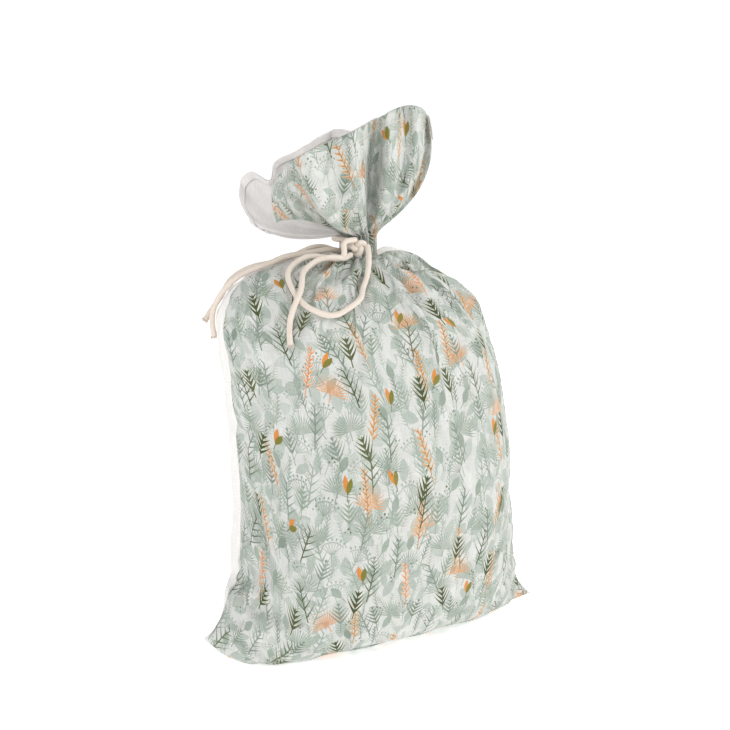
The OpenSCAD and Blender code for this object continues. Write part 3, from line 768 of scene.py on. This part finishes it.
def strip(name, surface, reach, rows, steps, gap, thickness):
    """A narrow second layer of cloth under a surface; steps are across and up."""
    u = np.linspace(*reach, steps[0] + 1)[None, :]
    v = np.linspace(*rows, steps[1] + 1)[:, None]
    flat = np.stack(np.broadcast_arrays((u - .5) * CLOTH_WIDTH, v * ROW_UP), 2)
    return cloth_grid(name, surface.at(u, v, -CLOTH - gap), flat, surface is rear_surface, thickness)[0]


HEM_ROWS, HEM_TOP = 9 * MM / ROW_UP, ROWS - 1
SEAM_SHARE = 8 * MM / CLOTH_WIDTH


def hem_fold(name, surface):
    rows = (HEM_TOP - HEM_ROWS, HEM_TOP - 0.02)
    return strip(name, surface, (0, 1), rows, (2 * COLUMNS, 6), 0.35 * MM, 0.7 * MM)


def seam_allowance(name, reach, rows, steps):
    return strip(name, front_surface, reach, rows, steps, 0.1 * MM, 0.5 * MM)


front_hem = hem_fold("front_hem_fold", front_surface)
back_hem = hem_fold("back_hem_fold", rear_surface)
left_seam = seam_allowance("left_seam_allowance", (0.004, SEAM_SHARE), (3, TOP_ROW - 4), (3, 88))
right_seam = seam_allowance("right_seam_allowance", (1 - SEAM_SHARE, 0.996), (3, TOP_ROW - 4), (3, 88))
bottom_seam = seam_allowance("bottom_seam_allowance", (0.06, 0.94), (0.2, 2.2), (80, 2))
STITCH_PITCH, STITCH_LENGTH = 3.0 * MM, 2.3 * MM
# share of the stitch's length from its middle, thickness, and height over the cloth
STITCH_PROFILE = [(-0.5, 0.25, -1.3), (-0.42, 0.8, -0.4), (-0.2, 1, 0), (0.2, 1, 0), (0.42, 0.8, -0.4),
                  (0.5, 0.25, -1.3)]


def stitches(name, surface, reach, row, radius):
    """A row of sewn stitches across a surface, each a six-sided thread with its ends drawn in."""
    sides, u = 6, np.linspace(*reach, 3000)
    points = surface.at(u, row, 0.15 * MM)
    normals = surface.outward(u, row)
    run = length_along(points)

    def read(field, at):
        return np.array([np.interp(at, run, field[:, k]) for k in range(3)])

    verts, faces = [], []
    s = 0.5 * STITCH_PITCH
    while s < run[-1] - 0.5 * STITCH_PITCH:
        faces += tube_faces(len(STITCH_PROFILE), sides, start=len(verts), flip=True)
        here = [read(points, s + t * STITCH_LENGTH) for t, _, _ in STITCH_PROFILE]
        n = unit(read(normals, s))
        b = np.cross(n, unit(here[-1] - here[0]))
        for q, (_, size, drop) in zip(here, STITCH_PROFILE):
            for a in 2 * np.pi * np.arange(sides) / sides:
                verts.append(q + radius * (size * (b * math.cos(a) + n * math.sin(a)) + n * drop))
        s += STITCH_PITCH
    return mesh_object(name, verts, faces)


def hem_stitches(name, surface):
    return stitches(name, surface, (0.01, 0.99), HEM_TOP - HEM_ROWS * 0.82, 0.32 * MM)


front_stitches = hem_stitches("front_hem_stitches", front_surface)
back_stitches = hem_stitches("back_hem_stitches", rear_surface)


def joined(name, parts):
    """One object made of several, which are removed."""
    points, faces = [], []
    for part in parts:
        start = len(points)
        points += [tuple(v.co) for v in part.data.vertices]
        faces += [tuple(start + i for i in p.vertices) for p in part.data.polygons]
        bpy.data.objects.remove(part)
    return mesh_object(name, points, faces)


def casing_stitches(name, surface):
    return joined(name, [stitches("row", surface, (0.03, 0.97), row, 0.25 * MM)
                         for row in (TOP_ROW - 0.5, BAND_TOP_ROW + 0.2)])


front_casing_stitches = casing_stitches("front_casing_stitches", front_surface)
back_casing_stitches = casing_stitches("back_casing_stitches", rear_surface)

# ---------------------------------------------------------------- materials
SOFT_EDGE, WEAVE_PITCH = 0.35, 0.52


def feed(tree, socket, value):
    """Links a socket to a worked-out value, or sets it to a constant."""
    if isinstance(value, Value):
        tree.links.new(value.out, socket)
    elif isinstance(value, bpy.types.NodeSocket):
        tree.links.new(value, socket)
    else:
        socket.default_value = value


def node(tree, kind, inputs=(), **settings):
    """A new shader node with its settings and inputs."""
    made = tree.nodes.new(kind)
    for key, value in settings.items():
        setattr(made, key, value)
    for key, value in dict(inputs).items():
        feed(tree, made.inputs[key], value)
    return made


class Value:
    """A number worked out by shader nodes."""

    def __init__(self, tree, out):
        self.tree, self.out = tree, out

    def math(self, operation, *others, clamp=False):
        """The value after one more Math node."""
        inputs = dict(enumerate((self, *others)))
        made = node(self.tree, "ShaderNodeMath", inputs, operation=operation, use_clamp=clamp)
        return Value(self.tree, made.outputs[0])

    __add__ = partialmethod(math, "ADD")
    __sub__ = partialmethod(math, "SUBTRACT")
    __mul__ = partialmethod(math, "MULTIPLY")
    __truediv__ = partialmethod(math, "DIVIDE")
    __abs__ = partialmethod(math, "ABSOLUTE")
    floor = partialmethod(math, "FLOOR")
    sqrt = partialmethod(math, "SQRT")
    low = partialmethod(math, "MINIMUM")
    high = partialmethod(math, "MAXIMUM")
    times_plus = partialmethod(math, "MULTIPLY_ADD")

    def centred(self, pitch):
        """Repeats every pitch, as a distance from the middle."""
        return self.math("WRAP", pitch / 2, -pitch / 2)

    def cover(self):
        """One inside a shape, none outside, with a soft edge."""
        return self.math("MULTIPLY_ADD", -1 / SOFT_EDGE, 0.5, clamp=True)


def rgb(code):
    """A hex colour as linear light."""
    parts = [int(code[i:i + 2], 16) / 255 for i in (1, 3, 5)]
    return tuple(p / 12.92 if p <= 0.04045 else ((p + 0.055) / 1.055) ** 2.4 for p in parts) + (1.0,)


def mix(tree, share, a, b):
    """From colour a to colour b."""
    made = node(tree, "ShaderNodeMix", data_type="RGBA")
    for socket, value in ((0, share), (6, a), (7, b)):
        feed(tree, made.inputs[socket], value)
    return made.outputs[2]


def pick(tree, chance, colours):
    """One of the colours, chosen by a random number from 0 to 1."""
    ramp = node(tree, "ShaderNodeValToRGB", {0: chance})
    ramp.color_ramp.interpolation = "CONSTANT"
    points = ramp.color_ramp.elements
    while len(points) < len(colours):
        points.new(0.5)
    for i, code in enumerate(colours):
        points[i].position = i / len(colours)
        points[i].color = rgb(code)
    return ramp.outputs[0]


def split(tree, socket):
    """The three parts of a vector."""
    made = node(tree, "ShaderNodeSeparateXYZ", {0: socket})
    return [Value(tree, made.outputs[k]) for k in range(3)]


def turned(tree, vector, angle):
    inputs = {"Vector": vector, "Angle": angle}
    return node(tree, "ShaderNodeVectorRotate", inputs, rotation_type="Z_AXIS").outputs[0]


def scatter(tree, flat, cell, seed, turn, slide, tilt):
    """Cells of cloth in mm, each with its own upright middle: x, y and a random number."""
    leaned = turned(tree, flat, math.radians(tilt))
    scaled = node(tree, "ShaderNodeVectorMath", {
        0: leaned, 1: (1 / cell[0], 1 / cell[1], 0), 2: (seed * .37, seed * .61, 0)},
        operation="MULTIPLY_ADD").outputs[0]
    qx, qy, _ = split(tree, scaled)
    row = qy.floor()
    qx = row.times_plus(0.5, qx)
    column = qx.floor()
    place = node(tree, "ShaderNodeCombineXYZ", {0: column, 1: row, 2: float(seed)}).outputs[0]
    noise = node(tree, "ShaderNodeTexWhiteNoise", {0: place}, noise_dimensions="3D")
    r1, r2, r3 = split(tree, noise.outputs["Color"])
    x = (qx - column - 0.5) * cell[0] + (r1 - 0.5) * slide[0]
    y = (qy - row - 0.5) * cell[1] + (r2 - 0.5) * slide[1]
    local = node(tree, "ShaderNodeCombineXYZ", {0: x, 1: y}).outputs[0]
    angle = (r3 - 0.5).times_plus(math.radians(2 * turn), -math.radians(tilt))
    x, y, _ = split(tree, turned(tree, local, angle))
    return x, y, Value(tree, noise.outputs["Value"])


def oval(x, y, length, width):
    """Below zero inside a pointed leaf."""
    t = y * (2 / length)
    return abs(x) + (t * t).times_plus(width / 2, -width / 2)


def disc(x, y, radius):
    """Below zero inside a circle."""
    return (x * x + y * y).sqrt() - radius


def line(x, y, low, high, half):
    """An upright line between two heights."""
    return (abs(x) - half).high(abs(y - (low + high) / 2) - (high - low) / 2)


def blades(x, y, length, width, pitch, slant, curve, thick, stem=0.3, even=0.0, bare=0.1, side=0.0,
           full=False):
    """A stem with rising pointed blades on both sides, shorter towards the tip."""
    ax = abs(x)
    base = y - ax * slant - ax * ax * curve
    if side:
        base = x.math("SIGN").times_plus(pitch * side, base)
    middle = base.math("SNAP", pitch) + pitch / 2
    t = middle.times_plus(1 / length, 0.5)
    taper = t * t if full else t
    reach = ((taper * (even - 1) + 1) * (width / 2)).high(0.01)
    blade = abs(base - middle) - (ax / reach).times_plus(-thick, thick)
    blade = blade.high((t - bare) * -20).high((t - 0.97) * 20)
    return blade.low(line(x, y, -length / 2 - 0.12 * length, length * 0.47, stem))


def fan(x, y, radius, rays, spread, fat):
    """Thin rays spreading from a point, as on a fan palm."""
    y = y + radius * 0.45
    angle = x.math("ARCTAN2", y)
    r = (x * x + y * y).sqrt()
    step = 2 * math.radians(spread) / rays
    far = r * (1 / radius)
    ray = abs(angle.centred(step)) * r - (r * (step * 0.34)).low(fat) * (far * far).times_plus(-1.0, 1.0)
    inside = ray.high((abs(angle) - math.radians(spread)) * 10)
    return inside.low(line(x, y, -0.4 * radius, 0, 0.35)), far


def umbel(x, y, radius, rays, spread, dot):
    """Thin rays from a stem, each with a round head."""
    y = y + radius * 0.5
    angle = x.math("ARCTAN2", y)
    r = (x * x + y * y).sqrt()
    step = 2 * math.radians(spread) / rays
    across_ray = abs(angle.centred(step)) * r
    outside = (abs(angle) - math.radians(spread)) * 10
    heads = disc(across_ray, r - radius, dot).low(disc(across_ray - 1.1, r - radius * 0.8, dot * 0.7))
    ray = (across_ray - 0.2).high(r - radius)
    return ray.low(heads).high(outside).low(line(x, y, -0.6 * radius, 0, 0.25))


SAGE, GREYGREEN, OLIVE, MOSS = "#A5B1A5", "#8D998D", "#505A38", "#6B7455"
ORANGE, PEACH, MUSTARD, BARK = "#E0924A", "#E8BE9C", "#C29050", "#BC8A5C"


def fern(x, y, colours, halo=None, **shape):
    """Blades in some colours, over a slightly larger pale copy where there is a halo."""
    made = blades(x, y, **shape)
    return ([(made - 0.45, halo)] if halo else []) + [(made, colours)]


def grain_sprig(x, y, pale, dark):
    """An ear of grain: fat pale blades with thin dark ones on them."""
    return [(blades(x, y, 34, 12, 4.8, 0.95, 0.02, 1.9, even=0.55, side=0.25), pale),
            (blades(x, y, 34, 10.5, 4.8, 0.95, 0.02, 0.8, even=0.55, side=0.25), dark)]


def leaf_pair(x, y):
    """An orange and a green leaf that lean apart on one stem."""
    return [(line(x, y, -10, -2, 0.25), [MOSS]),
            (oval(x + y * 0.16 + 1.5, y - 0.5, 11.5, 4.0), [ORANGE, "#E3A366", "#DE9347"]),
            (oval(x - y * 0.2 - 1.2, y + 0.8, 10.5, 4.2), ["#827F3A", "#6F7440", "#8F8742"])]


def botanical(tree, flat):
    """The print: leaves, ferns, palms and sprigs in layers, in millimetres of flat cloth."""
    colour = mix(tree, noise(tree, flat, 0.06, Detail=2.0), rgb("#D3D5D0"), rgb("#E0E0DC"))
    # cell, seed, turn either way, slide, tilt of the rows, share of cells that are filled, motif
    layers = [
        ((15, 17), 1, 70, (5, 5), 12, 1.0, lambda x, y: [
            (oval(x, y, 16, 8.0), ["#C0C7BF", "#C9CFC8", "#B8C0B8", "#E0E1DD"])]),
        ((13, 16), 2, 60, (4, 4), -24, 0.8, lambda x, y: [
            (oval(x, y, 14, 5.6), ["#DADDD8", "#B7C0B7", "#C7CEC6", "#DCDED9"])]),
        ((17, 21), 3, 35, (4, 4), -9, 0.9, lambda x, y: fern(
            x, y, ["#AFBAAF", "#BAC3B9", "#BFC1B5"], length=19, width=10, pitch=2.4, slant=0.8, curve=0.03,
            thick=0.6, even=0.4)),
        ((23, 27), 4, 30, (6, 6), 21, 0.8, lambda x, y: [
            (umbel(x, y, 12, 7, 55, 0.7), [SAGE, "#9FAA9E", GREYGREEN])]),
        ((19, 25), 5, 24, (6, 6), 38, 0.75, lambda x, y: fern(
            x, y, [SAGE, "#B4BEB3", GREYGREEN], length=22, width=7, pitch=3.0, slant=1.2, curve=0.0,
            thick=0.9, even=0.7, side=0.25)),
        ((25, 29), 6, 45, (9, 9), -5, 0.7, lambda x, y: [
            (line(x, y, -11, 0, 0.25), [GREYGREEN]),
            (oval(x, y, 12, 5.8), [SAGE, "#9DA99C", "#B1BBB0", GREYGREEN])]),
        ((35, 37), 7, 25, (10, 8), 7, 0.85, lambda x, y: fern(
            x, y, [GREYGREEN, SAGE, "#97A493", "#808E7D"], length=22, width=26, pitch=3.4, slant=0.8,
            curve=0.04, thick=1.15, bare=0.16)),
        ((31, 35), 8, 26, (9, 9), -28, 0.6, lambda x, y: fern(
            x, y, [GREYGREEN, "#7F8C7C", SAGE], length=25, width=18, pitch=5.6, slant=1.1, curve=0.0,
            thick=0.95, stem=0.5, even=0.5, side=0.5)),
        ((47, 43), 9, 18, (14, 10), 33, 0.7, lambda x, y: grain_sprig(
            x, y, [PEACH, "#E9C9A4", "#F0CDB4"], [MUSTARD, BARK, "#D98F55"])),
        ((45, 49), 10, 22, (18, 20), -20, 0.55, lambda x, y: fern(
            x, y, [OLIVE, "#4A5436", "#5D6544"], halo=["#DDE0D0"], length=21, width=17, pitch=4.4,
            slant=1.05, curve=0.05, thick=1.75, stem=0.45, bare=0.04, even=0.1, full=True)),
        ((57, 53), 13, 22, (26, 24), 31, 0.6, lambda x, y: fern(
            x, y, ["#5E684A", "#6D7759", "#58603E"], length=24, width=22, pitch=5.8, slant=0.9, curve=0.02,
            thick=0.75, stem=0.45, bare=0.1, even=0.25, side=0.4, full=True)),
        ((53, 61), 11, 40, (26, 30), 14, 0.65, leaf_pair),
        ((27, 23), 12, 40, (12, 10), -12, 0.6, lambda x, y: [
            (disc(x, y, 0.75).low(disc(x - 2.2, y + 1.8, 0.6)).low(disc(x + 1.6, y + 2.8, 0.55)),
             [MOSS, "#7C8873", GREYGREEN])]),
    ]

    def place_motif(cell, seed, turn, slide, tilt, filled):
        """Where a motif lies, its chance, and whether its cell is filled."""
        x, y, chance = scatter(tree, flat, cell, seed, turn, slide, tilt)
        return x, y, chance, (chance * 7.31).math("FRACT").math("LESS_THAN", filled)

    def print_motifs(colour, some_layers):
        for *placing, motif in some_layers:
            x, y, chance, present = place_motif(*placing)
            for shape, colours in motif(x, y):
                colour = mix(tree, shape.cover() * present, colour, pick(tree, chance, colours))
        return colour

    colour = print_motifs(colour, layers[:6])
    for *placing, near, tip in (((37, 35), 21, 26, (11, 11), -16, 0.8, "#96A395", "#9CA99B"),
                                ((59, 61), 22, 26, (33, 37), 26, 0.6, ORANGE, "#E8B583")):
        x, y, _, present = place_motif(*placing)
        shape, far = fan(x, y, 14.5, 17, 92, 0.55)
        colour = mix(tree, shape.cover() * present, colour, mix(tree, far, rgb(near), rgb(tip)))
    return print_motifs(colour, layers[6:])


def new_material(name):
    """A material with one Principled shader."""
    material = bpy.data.materials.new(name)
    material.use_nodes = True
    tree = material.node_tree
    tree.nodes.clear()
    shader = node(tree, "ShaderNodeBsdfPrincipled")
    tree.links.new(shader.outputs[0], node(tree, "ShaderNodeOutputMaterial").inputs[0])
    return material, tree, shader


def noise(tree, place, scale, **settings):
    """A noise texture's value at a place."""
    inputs = {"Vector": place, "Scale": scale, **settings}
    return Value(tree, node(tree, "ShaderNodeTexNoise", inputs).outputs[0])


def weave(tree, flat):
    """Height of a plain weave, from flat cloth in millimetres."""
    x, y, _ = split(tree, flat)
    warp, weft = [(way * (math.pi / WEAVE_PITCH)).math("SINE") for way in (x, y)]
    return warp * warp * 0.5 + weft * weft * 0.5


def slubs(tree, flat, stretch):
    """Uneven thickness of the threads that run one way."""
    stretched = node(tree, "ShaderNodeVectorMath", {0: flat, 1: stretch}, operation="MULTIPLY").outputs[0]
    return noise(tree, stretched, 1.0, Detail=2.0)


def cotton(name, brightness, plain=None, reverse=0.0):
    """Woven cotton in two plain colours, or else with the print, paler on its reverse."""
    material, tree, shader = new_material(name)
    uv = node(tree, "ShaderNodeUVMap", uv_map="UVMap").outputs[0]
    flat = node(tree, "ShaderNodeVectorMath", {0: uv, 3: 1000.0}, operation="SCALE").outputs[0]
    wobble = noise(tree, flat, 0.05, Detail=4.0, Roughness=0.6)
    if plain:
        colour = mix(tree, wobble.times_plus(1.6, -0.3), *map(rgb, plain))
    else:
        colour = botanical(tree, flat)
    if reverse:
        colour = mix(tree, reverse, colour, rgb("#E2E2DC"))
    height = weave(tree, flat)
    slub = slubs(tree, flat, (0.10, 1.6, 1))
    threads = (slub + slubs(tree, flat, (1.6, 0.10, 1)) - 1.0) * 0.3
    # uneven threads and the broad wobble are the cloth's own tone; the weave's low places made darker is
    # painted shade in its hollows
    tone_and_weave_shade = threads + height * 0.10 - 0.05 + (wobble - 0.5) * 0.12
    toned = node(tree, "ShaderNodeHueSaturation", {"Color": colour, "Value": tone_and_weave_shade + brightness}).outputs[0]
    fine = node(tree, "ShaderNodeBump", {
        "Strength": 0.45, "Distance": 0.12 * MM, "Height": height + threads * 1.4})
    crinkle = noise(tree, flat, 0.16, Detail=5.0, Roughness=0.62, Distortion=0.6)
    soft = node(tree, "ShaderNodeBump", {
        "Strength": 0.5, "Distance": 1.1 * MM, "Height": crinkle, "Normal": fine.outputs[0]})
    for socket, value in (("Base Color", toned), ("Roughness", slub.times_plus(0.16, 0.78)),
                          ("Normal", soft.outputs[0]), ("Sheen Weight", 0.18), ("Sheen Roughness", 0.45),
                          ("Specular IOR Level", 0.25)):
        feed(tree, shader.inputs[socket], value)
    return material


def yarn(name, base, dark, scale):
    """Twisted cotton yarn, for cords and thread."""
    material, tree, shader = new_material(name)
    place = node(tree, "ShaderNodeTexCoord").outputs["Object"]
    fibre = noise(tree, place, scale, Detail=5.0, Roughness=0.7)
    tone = fibre * 0.8 + noise(tree, place, 90.0, Detail=2.0) * 0.5 - 0.25
    bump = node(tree, "ShaderNodeBump", {"Strength": 0.5, "Distance": 0.2 * MM, "Height": fibre})
    for socket, value in (("Base Color", mix(tree, tone, rgb(dark), rgb(base))),
                          ("Roughness", fibre.times_plus(0.2, 0.72)), ("Normal", bump.outputs[0]),
                          ("Sheen Weight", 0.3), ("Specular IOR Level", 0.2)):
        feed(tree, shader.inputs[socket], value)
    return material


print_cloth = cotton("printed_cotton", 0.82)
print_reverse = cotton("printed_cotton_reverse", 0.82, reverse=0.72)
plain_cloth = cotton("plain_cotton", 1.0, plain=("#EEECE9", "#E4E1DD"))
# the plain cloth's inside and its hem are painted darker and greyer than its outside: painted shade, as
# inside the back flap
plain_reverse_painted_shade = cotton("plain_cotton_reverse_painted_shade", 1.0, plain=("#E6E3E1", "#DAD6D3"))
cord_yarn = yarn("cord_yarn", "#EDE4DA", "#CFC1B2", 900.0)
thread_yarn = yarn("thread_yarn", "#E6E2DA", "#C9C2B8", 3000.0)
wadding = yarn("wadding", "#F1EFEA", "#DEDAD2", 200.0)


def dress(obj, *materials):
    for material in materials:
        obj.data.materials.append(material)


dress(front_cloth, print_cloth, print_reverse)
dress(back_cloth, plain_cloth, plain_reverse_painted_shade)
for piece in (front_hem, left_seam, right_seam, bottom_seam):
    dress(piece, print_reverse)
dress(back_hem, plain_reverse_painted_shade)
for piece in (front_stitches, back_stitches, front_casing_stitches, back_casing_stitches):
    dress(piece, thread_yarn)
for piece in (loop_cord, tail_cord, front_strand, rear_strand, bow_inner, side_inner, knot,
              tail_fray, front_fray, rear_fray):
    dress(piece, cord_yarn)
dress(filling, wadding)

# ---------------------------------------------------------------- which body each piece moves with, and the parts it stands for
for piece, flap in ((front_cloth, "front_flap"), (front_hem, "front_flap"), (front_stitches, "front_flap"),
                    (back_cloth, "back_flap"), (back_hem, "back_flap"), (back_stitches, "back_flap")):
    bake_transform(piece)
for piece, body, slot, nodes in (
        (front_cloth, None, "print_cotton", ("front_panel", "front_casing", "front_ruffle")),
        (back_cloth, None, "plain_cotton", ("back_panel", "back_casing", "back_ruffle")),
        (front_hem, None, "print_cotton", ("front_hem",)),
        (back_hem, None, "plain_cotton", ("back_hem",)),
        (front_stitches, None, "thread", ("front_hem_stitching",)),
        (back_stitches, None, "thread", ("back_hem_stitching",)),
        (front_casing_stitches, "sack", "thread", ("front_casing_stitching",)),
        (back_casing_stitches, "sack", "thread", ("back_casing_stitching",)),
        (left_seam, "sack", "print_cotton", ("left_side_seam",)),
        (right_seam, "sack", "print_cotton", ("right_side_seam",)),
        (bottom_seam, "sack", "print_cotton", ("bottom_seam",)),
        (filling, "sack", "wadding", ("stuffing",)),
        (bow_inner, "sack", "cord", ("bow_cord_in_casing",)),
        (side_inner, "sack", "cord", ("side_cord_in_casing",)),
        (knot, "sack", "cord", ("bow_knot",)),
        (loop_cord, "bow_loop", "cord", ("bow_loop",)),
        (tail_cord, "bow_tail", "cord", ("bow_tail",)),
        (tail_fray, "bow_tail", "cord", ()),
        (front_strand, "front_side_strand", "cord", ("front_side_strand",)),
        (front_fray, "front_side_strand", "cord", ()),
        (rear_strand, "rear_side_strand", "cord", ("rear_side_strand",)),
        (rear_fray, "rear_side_strand", "cord", ())):
    if body:
        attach(piece, body)
    if nodes:
        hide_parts(*nodes)

# ---------------------------------------------------------------- floor and light
floor = mesh_object("floor", [(-6, -6, 0), (6, -6, 0), (6, 6, 0), (-6, 6, 0)], [(0, 1, 2, 3)], smooth=False)
floor_material, floor_tree, floor_shader = new_material("floor")
grain = Value(floor_tree, node(floor_tree, "ShaderNodeTexNoise", {"Scale": 3.0, "Detail": 3.0}).outputs[0])
for socket, value in (("Base Color", mix(floor_tree, grain, rgb("#FBFBFB"), rgb("#FDFDFD"))),
                      ("Roughness", 0.9), ("Emission Color", (1, 1, 1, 1)), ("Emission Strength", 0.5)):
    feed(floor_tree, floor_shader.inputs[socket], value)
floor.data.materials.append(floor_material)

world = bpy.data.worlds.new("studio")
scene.world = world
world.use_nodes = True
sky = world.node_tree
backdrop = sky.nodes["Background"]
backdrop.inputs[0].default_value = (1.0, 1.0, 1.0, 1)
# a white wall all round, and a darker ceiling
height = split(sky, node(sky, "ShaderNodeTexCoord").outputs["Generated"])[2]
glow = node(sky, "ShaderNodeMapRange", {0: height, 1: 0.12, 2: 0.45, 3: 1.04, 4: 0.6})
sky.links.new(glow.outputs[0], backdrop.inputs[1])
for name, place, size, power, tint in (("key", (1.3, -0.9, 1.5), 0.9, 16, (1.0, 0.99, 0.97)),
                                       ("fill", (-1.5, -1.1, 1.3), 1.6, 12, (0.97, 0.98, 1.0)),
                                       ("rear", (0.3, 1.5, 1.6), 1.5, 3, (1.0, 1.0, 1.0))):
    light = bpy.data.objects.new(name, bpy.data.lights.new(name, "AREA"))
    scene.collection.objects.link(light)
    light.data.energy, light.data.size, light.data.color = power, size, tint
    light.location = place
    light.rotation_mode = "QUATERNION"
    light.rotation_quaternion = (Vector((0, 0, 0.17)) - Vector(place)).to_track_quat("-Z", "Y")
scene.view_settings.view_transform = "Standard"
